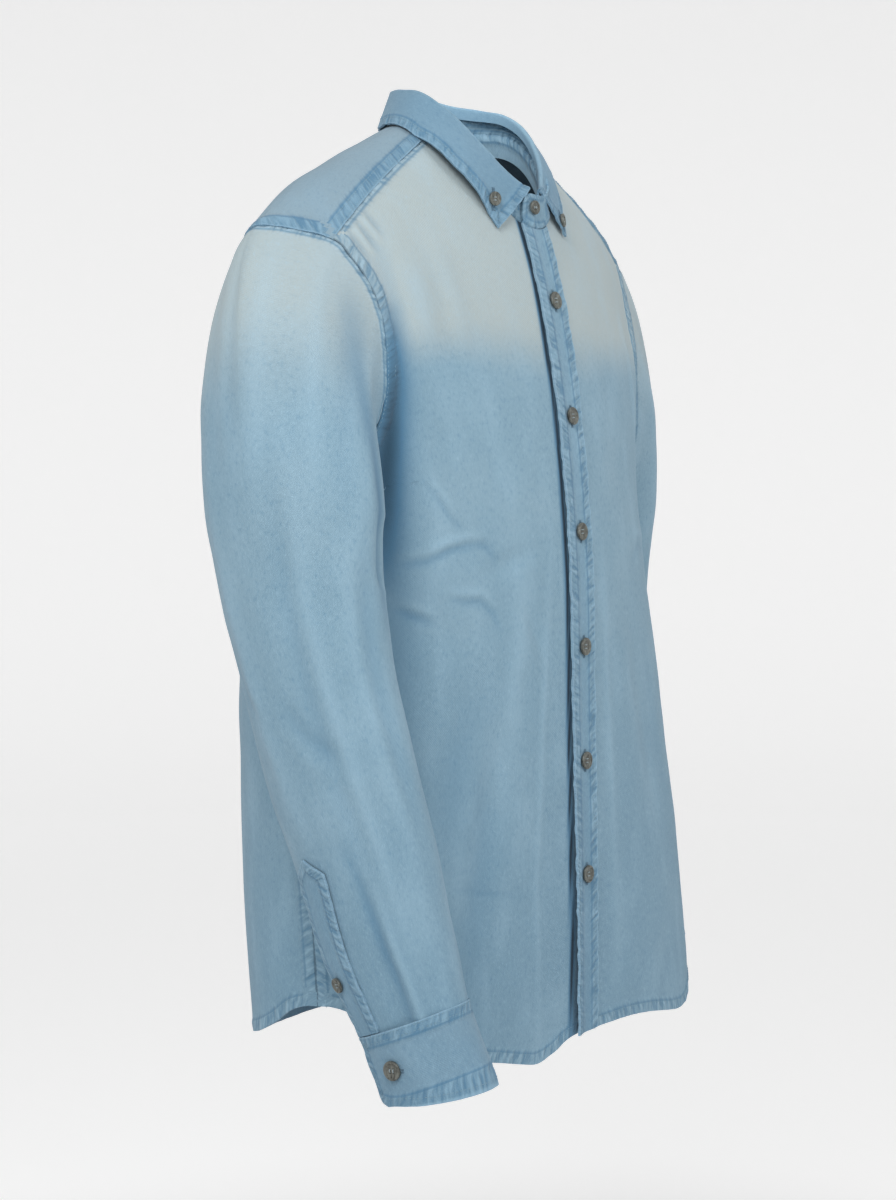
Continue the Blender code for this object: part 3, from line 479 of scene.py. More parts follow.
def denim(name, blue, pale, inside=False, edge=-0.5):
    """Washed denim: flecks, twill, bleaching, painted shade and highlights, and puckered seams, dark (edge <
    0) or worn pale.
    """
    material, tree, shader = bare(name)

    def math_(operation, a, b, clamp=False):
        return put(tree, "ShaderNodeMath", {0: a, 1: b}, operation=operation, use_clamp=clamp).outputs[0]

    def times(a, b, clamp=False):
        return math_("MULTIPLY", a, b, clamp)

    def blend(factor, a, b):
        return put(tree, "ShaderNodeMix", {0: factor, 6: a, 7: b}, data_type="RGBA").outputs[2]

    def spread(value, low, high, to_low=0.0, to_high=1.0):
        return put(tree, "ShaderNodeMapRange",
                   {"Value": value, "From Min": low, "From Max": high, "To Min": to_low, "To Max": to_high},
                   interpolation_type="SMOOTHSTEP").outputs[0]

    def noise(vector, scale, detail=2.0, rough=0.5):
        return put(tree, "ShaderNodeTexNoise",
                   {"Vector": vector, "Scale": scale, "Detail": detail, "Roughness": rough}).outputs["Fac"]

    def scaled(vector, *by):
        return put(tree, "ShaderNodeVectorMath", {0: vector, 1: by}, operation="MULTIPLY").outputs[0]

    weave = put(tree, "ShaderNodeUVMap", uv_map="cloth").outputs[0]
    place = put(tree, "ShaderNodeTexCoord").outputs["Object"]
    # darker towards the hem: painted shade, for the light falling off lower down
    low = spread(put(tree, "ShaderNodeSeparateXYZ", {0: place}).outputs[2], -0.72, -0.25, 0.32, 0.0)
    flecks = noise(scaled(weave, 1050, 330, 1), 1.0, 2.0, 0.6)
    grain = noise(scaled(weave, 1500, 1300, 1), 1.0, 1.0, 0.5)
    mottle = noise(scaled(weave, 330, 190, 1), 1.0, 2.0, 0.55)
    fade = noise(scaled(weave, 34, 12, 1), 1.0, 2.0, 0.5)
    clouds = noise(place, 11.0, 3.0, 0.55)
    bleach = put(tree, "ShaderNodeAttribute", attribute_name="bleach").outputs["Fac"]
    shade = put(tree, "ShaderNodeAttribute", attribute_name="shade").outputs["Fac"]
    seam = put(tree, "ShaderNodeUVMap", uv_map="seam").outputs[0]
    parts = put(tree, "ShaderNodeSeparateXYZ", {0: seam})
    run, away = parts.outputs[0], parts.outputs[1]
    lean = math_("ADD", run, times(away, 0.45))
    lumps = put(tree, "ShaderNodeCombineXYZ", {"X": times(lean, 270.0),
                                               "Y": times(away, 60.0)}).outputs[0]
    pucker = noise(lumps, 1.0, 1.0, 0.5)
    band = spread(away, 0.0085, 0.0120, 1.0, 0.0)
    reach = spread(away, 0.0075, 0.0150, 1.0, 0.0)
    amount = math_("ADD", bleach, times(math_("SUBTRACT", clouds, 0.5), 0.35))
    amount = math_("SUBTRACT", amount, times(band, 0.60), clamp=True)
    colour = blend(amount, blue, pale)
    lighter = tuple(min(1.0, v * 1.35 + 0.07) for v in blue[:3]) + (1,)
    darker = tuple(v * f for v, f in zip(blue[:3], (0.42, 0.60, 0.74))) + (1,)
    deepest = (0.012, 0.030, 0.050, 1)
    colour = blend(low, colour, darker)
    colour = blend(spread(clouds, 0.35, 0.75, 0.0, 0.10), colour, lighter)
    colour = blend(spread(fade, 0.42, 0.75, 0.0, 0.20), colour, lighter)
    unworn = math_("SUBTRACT", 1.0, times(amount, 0.85))
    colour = blend(times(unworn, spread(mottle, 0.22, 0.50, 0.36, 0.0)), colour, darker)
    colour = blend(spread(mottle, 0.55, 0.80, 0.0, 0.22), colour, lighter)
    colour = blend(spread(flecks, 0.50, 0.78, 0.0, 0.28), colour, lighter)
    colour = blend(times(unworn, spread(flecks, 0.22, 0.48, 0.20, 0.0)), colour, darker)
    colour = blend(spread(grain, 0.52, 0.75, 0.0, 0.24), colour, lighter)
    if not inside:
        up = times(spread(pucker, 0.50, 0.66), reach)
        down = times(spread(pucker, 0.34, 0.50, 1.0, 0.0), reach)
        colour = blend(times(up, 0.38), colour, lighter)
        colour = blend(times(down, 0.62), colour, darker)
        line = spread(away, 0.0006, 0.0018, 1.0, 0.0)
        colour = blend(times(line, abs(edge)), colour, lighter if edge > 0 else deepest)
        # painted shade just beyond the raised seam band's inner edge
        ends = times(spread(away, 0.0086, 0.0096), spread(away, 0.0098, 0.0122, 1.0, 0.0))
        colour = blend(times(ends, 0.60), colour, darker)
        # the shade attribute: painted highlights where positive, painted shade where negative, near black
        # below -1
        colour = blend(times(shade, 1.0, clamp=True), colour, lighter)
        colour = blend(times(shade, -1.0, clamp=True), colour, darker)
        colour = blend(math_("SUBTRACT", times(shade, -1.0), 1.0, clamp=True), colour, deepest)
    diagonal = put(tree, "ShaderNodeTexWave",
                   {"Vector": weave, "Scale": 330.0, "Distortion": 1.2, "Detail": 1.0},
                   wave_type="BANDS", bands_direction="DIAGONAL").outputs["Fac"]
    relief = math_("ADD", times(diagonal, 0.4), times(flecks, 0.9))
    bumps = put(tree, "ShaderNodeBump", {"Height": relief, "Distance": 0.00025, "Strength": 0.8}).outputs[0]
    if not inside:
        bumps = put(tree, "ShaderNodeBump", {"Height": times(pucker, reach), "Distance": 0.0022,
                                             "Strength": 1.0, "Normal": bumps}).outputs[0]
    connect(tree, shader, {"Base Color": colour, "Roughness": 0.9, "Specular IOR Level": 0.2,
                           "Sheen Weight": 0.10, "Sheen Roughness": 0.5, "Normal": bumps})
    return material


BLUE = (0.203, 0.325, 0.410, 1)
PALE = (0.382, 0.437, 0.436, 1)
TRIM = (0.178, 0.300, 0.392, 1)
INSIDE = (0.150, 0.262, 0.355, 1)
denim_main = denim("washed denim", BLUE, PALE)
denim_trim = denim("washed denim, doubled", TRIM, PALE, edge=0.5)
denim_inside = denim("denim, inside", INSIDE, INSIDE, inside=True)

SEAM_BAND, HEM_BAND = 0.0095, 0.0085   # widths of the felled seams and of the hem's fold
BAND_HIGH, BAND_ROUND, BAND_SOFT = 0.0005, 0.0008, 0.0012
EXTRA_FOLD = 0.0006                    # what a second layer adds to the wall
TUCK, TUCK_UNDER = 0.0022, 0.0013      # how far a panel runs on past a seam, and how far in it goes there


def puckers(run, away, high, size, seed, reach, fade, short=1.8):
    """Small lumps along a seam, shorter along it than across, which die out at reach."""
    return high * cloud(run * short, away, size, seed) * ease((reach - away) / fade)


def tucked(grid, heart, *edges):
    """Runs a grid on past the named edges, a little further in, under the piece that it is sewn to."""
    for edge in edges:
        at_side, at_end = edge in ("left", "right"), edge in ("last", "right")
        view = grid.transpose(1, 0, 2) if at_side else grid
        view = view[::-1] if at_end else view
        out = outward(view, heart)[3]
        step = unit(view[0] - view[2])
        count = np.arange(len(out))
        inset = np.minimum(count, count[::-1]).clip(4)
        keep = np.where(count < len(out) / 2, inset, len(out) - 1 - inset)
        view = np.concatenate([(view[0] + step[keep] * TUCK - out[keep] * TUCK_UNDER)[None], view])
        view = view[::-1] if at_end else view
        grid = view.transpose(1, 0, 2) if at_side else view
    return grid


HEART = np.array((0.0, 0.01, -0.38))
armhole_line = {s: armhole(s, np.linspace(-12, 12, 601)) for s in (RIGHT, LEFT)}
side_z = np.linspace(-0.6625, ARMPIT, 200)
side_line = {s: body(across_at(s * math.pi / 2, side_z), side_z, False) for s in (RIGHT, LEFT)}

# Creases of the fronts as x and z: width, height, painted shade (a painted highlight where positive), then
# the points.
RIGHT_CREASES = (
    (0.013, 0.0022, 0.26, (-0.152, -0.118), (-0.146, -0.150), (-0.143, -0.185)),
    (0.010, 0.0016, 0.14, (-0.118, -0.100), (-0.112, -0.150), (-0.110, -0.190)),
    (0.010, -0.0016, -0.10, (-0.130, -0.112), (-0.127, -0.150), (-0.126, -0.190)),
    # the trough beside the sleeve, painted darkest: the sleeve's shadow on the front
    (0.010, -0.0030, -1.25, (-0.172, -0.160), (-0.175, -0.200), (-0.177, -0.250), (-0.180, -0.300),
     (-0.188, -0.350)),
    (0.016, -0.0020, -0.45, (-0.172, -0.120), (-0.172, -0.200), (-0.176, -0.300), (-0.184, -0.400),
     (-0.200, -0.540)),
    (0.0028, -0.0014, -0.28, (-0.172, -0.082), (-0.163, -0.100)),
    (0.0028, 0.0012, 0.22, (-0.177, -0.086), (-0.167, -0.106)),
    (0.0028, -0.0014, -0.30, (-0.182, -0.090), (-0.171, -0.112)),
    (0.0028, 0.0012, 0.24, (-0.187, -0.094), (-0.176, -0.116)),
    (0.0026, -0.0012, -0.30, (-0.191, -0.098), (-0.181, -0.118)),
    (0.0030, 0.0014, 0.30, (-0.176, -0.336), (-0.160, -0.333), (-0.142, -0.326), (-0.125, -0.322),
     (-0.114, -0.323)),
    (0.0026, -0.0014, -0.50, (-0.172, -0.342), (-0.158, -0.340), (-0.142, -0.333), (-0.125, -0.329),
     (-0.110, -0.330)),
    (0.0026, -0.0012, -0.40, (-0.116, -0.326), (-0.108, -0.332), (-0.100, -0.342)),
    (0.0030, -0.0014, -0.42, (-0.180, -0.376), (-0.170, -0.380), (-0.158, -0.385)),
    (0.0030, 0.0012, 0.26, (-0.178, -0.369), (-0.168, -0.373), (-0.156, -0.378)),
    (0.0028, 0.0012, 0.28, (-0.144, -0.362), (-0.130, -0.364), (-0.117, -0.364), (-0.106, -0.372)),
    (0.0028, -0.0013, -0.44, (-0.144, -0.368), (-0.130, -0.371), (-0.118, -0.371), (-0.108, -0.380),
     (-0.102, -0.392)),
    (0.0026, -0.0010, -0.30, (-0.154, -0.284), (-0.146, -0.294), (-0.139, -0.307), (-0.128, -0.318)),
    (0.0030, 0.0010, 0.22, (-0.150, -0.281), (-0.142, -0.292), (-0.134, -0.305)),
    (0.016, -0.0022, -0.20, (-0.128, -0.430), (-0.150, -0.500), (-0.176, -0.560)),
    (0.012, 0.0014, 0.26, (-0.068, -0.320), (-0.079, -0.402), (-0.096, -0.480), (-0.108, -0.540)),
    (0.014, -0.0012, -0.22, (-0.100, -0.440), (-0.126, -0.540), (-0.140, -0.620), (-0.146, -0.690)),
    (0.002, -0.0003, -0.26, (-0.159, -0.580), (-0.118, -0.589), (-0.077, -0.597)),
    (0.004, 0.0005, 0.24, (-0.037, -0.312), (-0.051, -0.442), (-0.059, -0.516), (-0.068, -0.586),
     (-0.066, -0.708)),
)
LEFT_CREASES = (
    (0.006, 0.0008, 0.20, (0.038, -0.330), (0.040, -0.430), (0.046, -0.540), (0.050, -0.660)),
    (0.006, 0.0010, 0.16, (0.136, -0.146), (0.152, -0.188), (0.148, -0.241)),
    (0.012, -0.0016, -0.14, (0.120, -0.420), (0.140, -0.500), (0.160, -0.560)),
    (0.005, 0.0011, 0.14, (0.160, -0.332), (0.132, -0.328), (0.110, -0.330)),
    (0.005, -0.0012, -0.16, (0.156, -0.342), (0.128, -0.338), (0.098, -0.350)),
)
FADE_TOP, FADE_END = -0.162, -0.207    # the bleaching dies out between these heights
BAND_FREE_EDGE = -0.0190               # the button band's free edge shades the right front here


def body_cloth(node, grid, sides, banded, yoke_seam, bottom, creases, lumps, seed, bleached, tucks, dark=0.0):
    """A front or the back on its grid, with creases, raised seam bands, the hem's fold and the bleaching."""
    x, z = grid[..., 0], grid[..., 2]
    height, shade = creased(x, z, creases)
    from_edge = nearest(*sides, yoke_seam)[1]
    run, away = nearest(*sides, (bottom[0], bottom[1] + 0.0014), (yoke_seam[0], yoke_seam[1] + 0.0065))
    folded = ease((HEM_BAND + BAND_ROUND - bottom[1]) / BAND_SOFT)
    height = height * ease((from_edge - 0.001) / 0.012)
    height += lumps[0] * cloud(x, z, lumps[1], seed) * ease((from_edge - 0.004) / 0.02)
    height += BAND_HIGH * ease((SEAM_BAND + BAND_ROUND - nearest(*banded)[1]) / BAND_SOFT)
    height += BAND_HIGH * folded
    height += puckers(run, away, 0.0006, 0.010, seed + 1, 0.016, 0.01)
    grid = raised(grid, HEART, height)
    bleach = ease((z - FADE_END + 0.006 * cloud(x, z, 0.05, seed + 2)) / (FADE_TOP - FADE_END)) * bleached
    grid = tucked(grid, HEART, *tucks)
    extra = ((0, 1), (1, 1) if "left" in tucks else (0, 0))
    folded, run, away, bleach, shade = (
        np.pad(field, extra, mode="edge") for field in (folded, run, away, bleach, shade - dark))
    x, y, z = np.moveaxis(grid, -1, 0)
    piece = cloth(f"{node}_cloth", grid, HEART, WALL + EXTRA_FOLD * folded, (denim_main, denim_inside),
                  (run, away), bleach, shade, warp=(around(x, z) * 0.21, z + 0.6 * (0.12 - abs(y))))
    return piece, grid


def front_panel(node, side, edge_x, fine, creases, seed):
    rows = SIDE_ROWS + ARM_ROWS
    i, w = np.linspace(0, rows, rows * fine + 1)[:, None], np.linspace(0, 1, 12 * fine + 1)[None, :]
    grid = front(side, edge_x, i, w)
    arm, felled, yoke_seam, bottom = near_seam(grid, armhole_line[side], side_line[side], grid[-1], grid[0])
    in_shadow = 2.5 * bell(grid[..., 0], BAND_FREE_EDGE, 0.0028) if side == RIGHT else 0.0
    piece, grid = body_cloth(node, grid, (arm, felled), (arm, felled), yoke_seam, bottom, creases,
                             (0.0005, 0.030), seed, 0.95, ("last",), in_shadow)
    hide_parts(node)
    sew(piece.name, armhole_line[side], 0.0015, 0.0084)
    sew(piece.name, side_line[side], 0.0015, 0.0078)
    sew(piece.name, grid[0], 0.0076)


front_panel("front_right", RIGHT, -LAP_EDGE, 11, RIGHT_CREASES, 11)
front_panel("front_left", LEFT, LAP_EDGE + 0.0003, 9, LEFT_CREASES, 21)

# ---- the back ------------------------------------------------------------------------------------
# One panel of the same denim from the yoke to the curved hem, eased into the yoke, felled to the fronts at
# the sides and bleached below the yoke like them.
BACK_YOKE = -0.098             # the back yoke seam, at the middle
BACK_CREASES = (
    (0.012, 0.0018, 0.14, (-0.185, -0.150), (-0.168, -0.260), (-0.150, -0.400)),
    (0.012, 0.0018, 0.14, (0.185, -0.160), (0.165, -0.260), (0.152, -0.390)),
    (0.010, -0.0014, -0.14, (-0.160, -0.200), (-0.140, -0.320), (-0.120, -0.430)),
    (0.010, -0.0014, -0.14, (0.160, -0.200), (0.135, -0.320), (0.115, -0.430)),
    (0.008, 0.0016, 0.12, (-0.030, -0.120), (-0.040, -0.230), (-0.050, -0.350)),
    (0.008, -0.0014, -0.12, (0.020, -0.115), (0.028, -0.220), (0.040, -0.360)),
    (0.006, -0.0013, -0.14, (-0.120, -0.330), (-0.060, -0.345), (0.010, -0.338)),
    (0.006, 0.0012, 0.12, (-0.100, -0.318), (-0.040, -0.332), (0.030, -0.325)),
    (0.014, 0.0020, 0.12, (-0.050, -0.380), (-0.070, -0.520), (-0.085, -0.660)),
    (0.014, -0.0018, -0.12, (0.030, -0.400), (0.050, -0.540), (0.060, -0.680)),
)


def back(i, w):
    """Points of the back: i runs from the hem (0) to the yoke seam (24), w from side to side, -1 to 1."""
    rows = SIDE_ROWS + ARM_ROWS
    up = armhole(LEFT, ARMHOLE_POINTS / 2 + np.maximum(i - SIDE_ROWS, 0))
    on_side = mix(hem(math.pi / 2, RIGHT), ARMPIT, np.minimum(i / SIDE_ROWS, 1))
    side_height = np.where(i <= SIDE_ROWS, on_side, up[..., 2])
    end = np.where(i <= SIDE_ROWS, math.pi / 2, around(up[..., 0], up[..., 2]))
    middle = mix(hem(math.pi, RIGHT), BACK_YOKE, i / rows)
    low = np.maximum(0, 1 - i / SIDE_ROWS)
    turn = w * end
    straight = mix(hem(math.pi, RIGHT), hem(math.pi / 2, RIGHT), w * w)
    z = mix(middle, side_height, w * w) + (hem(math.pi - abs(turn), RIGHT) - straight) * low
    return body(across_at(turn, z), z, True)


def back_panel(fine=8):
    rows = SIDE_ROWS + ARM_ROWS
    grid = back(np.linspace(0, rows, rows * fine + 1)[:, None], np.linspace(-1, 1, 22 * fine + 1)[None, :])
    bottom, *sides, yoke_seam = near_seam(grid, grid[0], armhole_line[LEFT], armhole_line[RIGHT],
                                          side_line[LEFT], side_line[RIGHT], grid[-1])
    piece, grid = body_cloth("back", grid, sides, sides[:2], yoke_seam, bottom, BACK_CREASES,
                             (0.0007, 0.035), 31, 0.9, ("last", "left", "right"))
    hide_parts("back")
    for side in (RIGHT, LEFT):
        sew(piece.name, armhole_line[side], 0.0015, 0.0084)
    sew(piece.name, grid[0], 0.0076)


back_panel()

# ---- the yoke ------------------------------------------------------------------------------------
# A double layer over the shoulders, sewn over the tops of the fronts and the back and into the armholes.
# Its front edges lie forward of the shoulder line and are topstitched twice.
SHOULDER_TURN = 106            # where the neck seam's points stop facing the armhole, in degrees
YOKE_POINTS = 2


def over_shoulder(points):
    """Points of the form as their x and their angle over the shoulder line, negative in front."""
    x, y, z = np.moveaxis(points, -1, 0)
    behind = y > BODY["middle"][-1]
    slope = np.where(behind, BACK_SLOPE, FRONT_SLOPE)
    angle = np.arccos(np.clip(1 - (ridge(x, behind) - z) / slope, -1, 1))
    return np.stack([x, np.where(behind, angle, -angle)], axis=-1)


def yoke(s, w):
    """Points of the yoke: s runs from the left front seam (0) to the right one (30), w out from the neck."""
    over, across_back = 2 * YOKE_POINTS, 22
    last = 2 * over + across_back
    turn = np.interp(s, (0, over, last - over, last),
                     (YOKE_TURN, SHOULDER_TURN, 360 - SHOULDER_TURN, 360 - YOKE_TURN))
    inner = neck(turn)
    top = back(np.full_like(s, SIDE_ROWS + ARM_ROWS), 1 - 2 * np.clip((s - over) / across_back, 0, 1))
    on_left, on_right = (s <= over)[..., None], (s >= last - over)[..., None]
    outer = np.where(on_left, armhole(LEFT, YOKE_POINTS - s),
                     np.where(on_right, armhole(RIGHT, s - last + over - YOKE_POINTS), top))
    row = float(SIDE_ROWS + ARM_ROWS)
    seam = [front(side, side * LAP_EDGE, np.full_like(w, row), w) for side in (LEFT, RIGHT)]
    ends = [front(side, side * LAP_EDGE, np.array(row), np.array((0.0, 1.0))).reshape(1, -1)
            for side in (LEFT, RIGHT)]
    seam, ends = (np.where((s < last / 2)[..., None], *pair) for pair in (seam, ends))
    like = np.maximum(0, 1 - np.minimum(s, last - s) / over)[..., None]
    bow = over_shoulder(seam) - mix(over_shoulder(ends[..., :3]), over_shoulder(ends[..., 3:]), w[..., None])
    flat = mix(over_shoulder(inner), over_shoulder(outer), w[..., None]) + bow * like
    x, angle = flat[..., 0], flat[..., 1]
    behind = angle > 0
    z = ridge(x, behind) - np.where(behind, BACK_SLOPE, FRONT_SLOPE) * (1 - np.cos(angle))
    return np.where(like == 1, seam, body(x, z, behind))


def yoke_panel():
    s = np.unique(np.concatenate([np.linspace(0, 4, 29), np.linspace(4, 26, 155), np.linspace(26, 30, 29)]))
    grid = yoke(*np.meshgrid(s, np.linspace(0, 1, 57), indexing="ij"))
    edges = armhole_line[LEFT], armhole_line[RIGHT], grid[0], grid[-1], grid[28:-28, -1]
    run, away = nearest(*near_seam(grid, *edges))
    height = 0.0009 * ease((SEAM_BAND + 0.0010 - away) / 0.0014)
    height += puckers(run, away, 0.0007, 0.010, 42, 0.018, 0.01)
    height += 0.0006 * cloud(grid[..., 0], grid[..., 1], 0.030, 43)
    grid = raised(grid, HEART, height)
    place = over_shoulder(grid)
    piece = cloth("yoke_cloth", grid, HEART, WALL + EXTRA_FOLD, (denim_trim, denim_main), (run, away),
                  0.52, -0.28, warp=(place[..., 0], place[..., 1] * 0.22))
    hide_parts("yoke")
    for edge in (armhole_line[RIGHT], armhole_line[LEFT], grid[0], grid[-1], grid[28:-28, -1]):
        sew(piece.name, edge, 0.0015, 0.0084)


yoke_panel()

# ---- the button band -----------------------------------------------------------------------------
# A folded strip sewn to the left front with two puckered rows; it laps over the right front and carries the
# buttonholes. Near the hem its free edge stands off.
BAND_WIDTH = 0.035
DOUBLE_WALL = 0.0018           # two layers of denim
LAY_GAP = 0.0006               # a piece lies this far off the one under it
BAND_LIFT = table(
    "height lift", (-0.72, 0.0045), (-0.60, 0.0030), (-0.45, 0.0014), (-0.30, 0.0008), (-0.08, 0.0))


def band_panel():
    columns, rows = 17, 290
    x = np.linspace(-BAND_WIDTH / 2, BAND_WIDTH / 2, columns)[None, :]
    t = np.linspace(0, 1, rows)[:, None]
    top = neck(np.degrees(np.arcsin(x / NECK_HALF_WIDTH)))[..., 2] - 0.0003
    z = mix(hem(0.0, RIGHT) - 0.001, top, t)
    lift = read(BAND_LIFT, z, "lift") * np.maximum(0, -x / (BAND_WIDTH / 2)) ** 2
    grid = body(x, z, False) - np.stack(np.broadcast_arrays(0 * z, lift, 0 * z), axis=-1)
    grid = raised(grid, HEART, DOUBLE_WALL + LAY_GAP)
    run, away = nearest(*near_seam(grid, grid[:, 0], grid[:, -1]))
    height = puckers(run, away, 0.0006, 0.009, 52, 0.012, 0.006) - 0.0004 * bell(away, 0.0050, 0.0014)
    grid = raised(grid, HEART, height)
    edge_x = 0.0007 * cloud(z, 0 * z, 0.012, 54) * np.sign(x)
    grid[..., 0] += edge_x * ease((0.010 - away) / 0.008)
    piece = cloth("placket_cloth", grid, HEART, DOUBLE_WALL, (denim_trim, denim_inside), (run, away), -0.10)
    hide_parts("placket")
    sew(piece.name, grid[:, 0], 0.0050)
    sew(piece.name, grid[:, -1], 0.0050)


band_panel()

# ---- collar stand and collar ---------------------------------------------------------------------
# Both are two layers of denim turned out and topstitched. The stand is sewn to the neck seam with a facing
# inside and closes with its own button; the leaf folds over it all round and buttons down at both points.
STAND = table(
    "turn height lean", (0, 0.025, 0.000), (45, 0.021, 0.002), (90, 0.015, 0.004), (180, 0.021, 0.004))
STAND_DROOP = 0.005            # the stand stands this much lower on the wearer's left
LEFT_LEAN = 0.0050             # and leans in this much more there
STAND_CLEAR = 0.0019           # its foot stands this far above the neck seam
STAND_LAP = 0.0172             # its ends run this far past the middle
STAND_CORNER = 0.012
FACING, FACING_IN = 0.016, 0.0030      # how far the facing hangs inside the neck, and how far in it starts
FACING_ROWS = 6
FOLD_RADIUS = 0.0022
LEAF = table(
    "turn fold out edge bulge",
    (8, 0.0050, 0.0110, -0.0890, 0.001), (30, 0.0055, 0.0200, -0.0660, 0.002),
    (55, 0.0060, 0.0250, -0.0440, 0.002), (75, 0.0065, 0.0240, -0.0250, 0.002),
    (100, 0.0070, 0.0170, -0.0120, 0.001), (135, 0.0080, 0.0085, -0.0060, 0.000),
    (180, 0.0080, 0.0080, -0.0080, 0.000),
)
LEAF_CLOSER, LEAF_END, LEAF_POINT_ASIDE, LEAF_SWING_TURNS = 0.45, 8, 32, 70


def fold_back(turn):
    """The same turn measured 0 to 180 on either side."""
    turn = abs(turn)
    return np.where(turn <= 180, turn, 360 - turn)


def stand_height(turn):
    droop = STAND_DROOP * np.maximum(0, np.sin(np.radians(turn))) ** 2
    return read(STAND, fold_back(turn), "height") - droop


def stand_point(turn, up, lap):
    """Points of the stand's outer side; up is 0 at the neck seam and 1 at the top, lap its distance out."""
    away = unit(np.stack(np.broadcast_arrays(np.sin(np.radians(turn)) * NECK_HALF_DEPTH,
                                             -np.cos(np.radians(turn)) * NECK_HALF_WIDTH, 0.0), axis=-1))
    drawn_in = LEFT_LEAN * ease(turn / 30) * ease((150 - turn) / 60)
    out = lap - (read(STAND, fold_back(turn), "lean") + drawn_in) * up
    rise = STAND_CLEAR + stand_height(turn) * up
    return neck(turn) + away * out[..., None] + rise[..., None] * np.array((0, 0, 1.0))


def rounded(corner, to_end):
    """How much a rounded corner takes off the height of a strip, this far from the strip's end."""
    return corner - np.sqrt(np.maximum(0, corner**2 - np.maximum(0, corner - to_end) ** 2))


def stand_panel():
    lap_turn = math.degrees(math.asin(STAND_LAP / NECK_HALF_WIDTH))
    turn, up = np.meshgrid(np.linspace(lap_turn, -360 - lap_turn, 190), np.linspace(0, 1, 12))
    lap = (DOUBLE_WALL + LAY_GAP) * ease((-360 - turn + 45) / 30)
    to_end = np.minimum(lap_turn - turn, turn + 360 + lap_turn) * math.radians(1) * NECK_HALF_WIDTH
    up = up * (1 - np.minimum(0.75, rounded(STAND_CORNER, to_end) / stand_height(turn)))
    grid = stand_point(turn, up, lap)
    heart = np.array((0, NECK_MIDDLE, 0.0))
    outline = rim(grid)
    run, away = near_seam(grid, outline)[0]
    lumps = puckers(run, away, 0.0004, 0.008, 62, 0.010, 0.006, short=1.0)
    grid = raised(grid, heart, lumps)
    gone = np.linspace(1, 0, FACING_ROWS)[:, None]
    drop = 0.0028 + FACING * gone * ease((fold_back(turn[:1]) - 25) / 30)
    facing = stand_point(turn[:1], 0 * up[:1], lap[:1] - FACING_IN) - drop[..., None] * np.array((0, 0, 1.0))
    grid = np.concatenate([facing, grid])
    run, away = (np.pad(f, ((FACING_ROWS, 0), (0, 0)), mode="edge") for f in (run, away + 0.006))
    away[:FACING_ROWS] += FACING * gone
    piece = cloth("collar_stand_cloth", grid, heart, DOUBLE_WALL, (denim_trim, denim_trim), (run, away), 0.08)
    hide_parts("collar_stand")
    sew(piece.name, outline, 0.0016)


def clear_of_body(points, lift):
    """Moves points off the body's form, the way that it faces there, where they are nearer than lift."""
    x, y, z = np.moveaxis(points, -1, 0)
    behind = y > BODY["middle"][-1]
    step = 0.002
    here = body_height(x, y)
    slope = np.maximum(abs(body_height(x, y + step) - here) / step, 1e-6)
    steep = (slope > 1) & (z < ridge(x, behind))
    face = body(x, z, behind)[..., 1]
    off = lift * np.hypot(1, 1 / slope)
    y_clear = np.where(behind, np.maximum(y, face + off), np.minimum(y, face - off))
    z_clear = np.maximum(z, here + lift * np.hypot(1, slope))
    return np.stack([x, np.where(steep, y_clear, y), np.where(steep, z, z_clear)], axis=-1)


def leaf_panel():
    turns = np.linspace(LEAF_END, 360 - LEAF_END, 215)
    turns = np.where(turns <= 180, turns, turns - 360)
    side, sign = fold_back(turns), np.where((turns >= 0) & (turns <= 180), 1, -1)
    top = stand_point(turns, np.ones_like(turns), np.zeros_like(turns))
    away = unit(top - stand_point(turns, np.ones_like(turns), -np.ones_like(turns)))
    rise = np.array((0, 0, 1.0))
    start = top - away * DOUBLE_WALL + rise * LAY_GAP
    high = (read(LEAF, side, "fold") - FOLD_RADIUS)[:, None] * rise
    centre = start + high + away * FOLD_RADIUS
    foot = start - away * 0.0003 - rise * 0.0020
    rings = [mix(foot, start + high, t) for t in np.linspace(0, 1, 5)[:-1]]
    for angle in np.radians(np.linspace(0, 180, 13)):
        rings.append(centre - away * FOLD_RADIUS * math.cos(angle) + rise * FOLD_RADIUS * math.sin(angle))
    swing = LEAF_POINT_ASIDE * np.maximum(0, 1 - (side - LEAF_END) / LEAF_SWING_TURNS) ** 1.5
    edge_turn = sign * (side + swing)
    out = read(LEAF, side, "out") * (1 - LEAF_CLOSER * np.maximum(0, np.sin(np.radians(turns))) ** 0.5)
    aside = np.stack([np.sin(np.radians(edge_turn)), -np.cos(np.radians(edge_turn)), 0 * edge_turn], axis=1)
    edge = neck(edge_turn) + aside * out[:, None]
    edge[:, 2] = read(LEAF, side, "edge")
    edge = clear_of_body(edge, DOUBLE_WALL + 2 * LAY_GAP)
    last = rings[-1]
    for t in np.linspace(0, 1, 34)[1:]:
        bulge = read(LEAF, side, "bulge")[:, None] * 4 * t * (1 - t)
        rings.append(clear_of_body(mix(last, edge, t) + away * bulge, DOUBLE_WALL + 2 * LAY_GAP))
    grid = np.stack(rings, axis=1)
    heart = np.array((0, NECK_MIDDLE, -0.05))
    outline = np.concatenate([grid[0, 14:], grid[:, -1], grid[-1, 14:][::-1]])
    (run, gap), (_, from_fold) = near_seam(grid, outline, grid[:, 10])
    height = puckers(run, gap, 0.0007, 0.009, 72, 0.012, 0.006) - 0.0005 * bell(gap, 0.0060, 0.0013)
    height += 0.0004 * cloud(run, from_fold, 0.016, 74)
    height[:, :8] = 0
    grid = raised(grid, heart, height)
    shade = 0.34 * bell(from_fold, 0, 0.0025) - 0.32
    piece = cloth("collar_cloth", grid, heart, DOUBLE_WALL, (denim_trim, denim_trim), (run, gap * 1.25),
                  0.08, shade)
    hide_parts("collar")
    sew(piece.name, outline, 0.0060)


stand_panel()
leaf_panel()

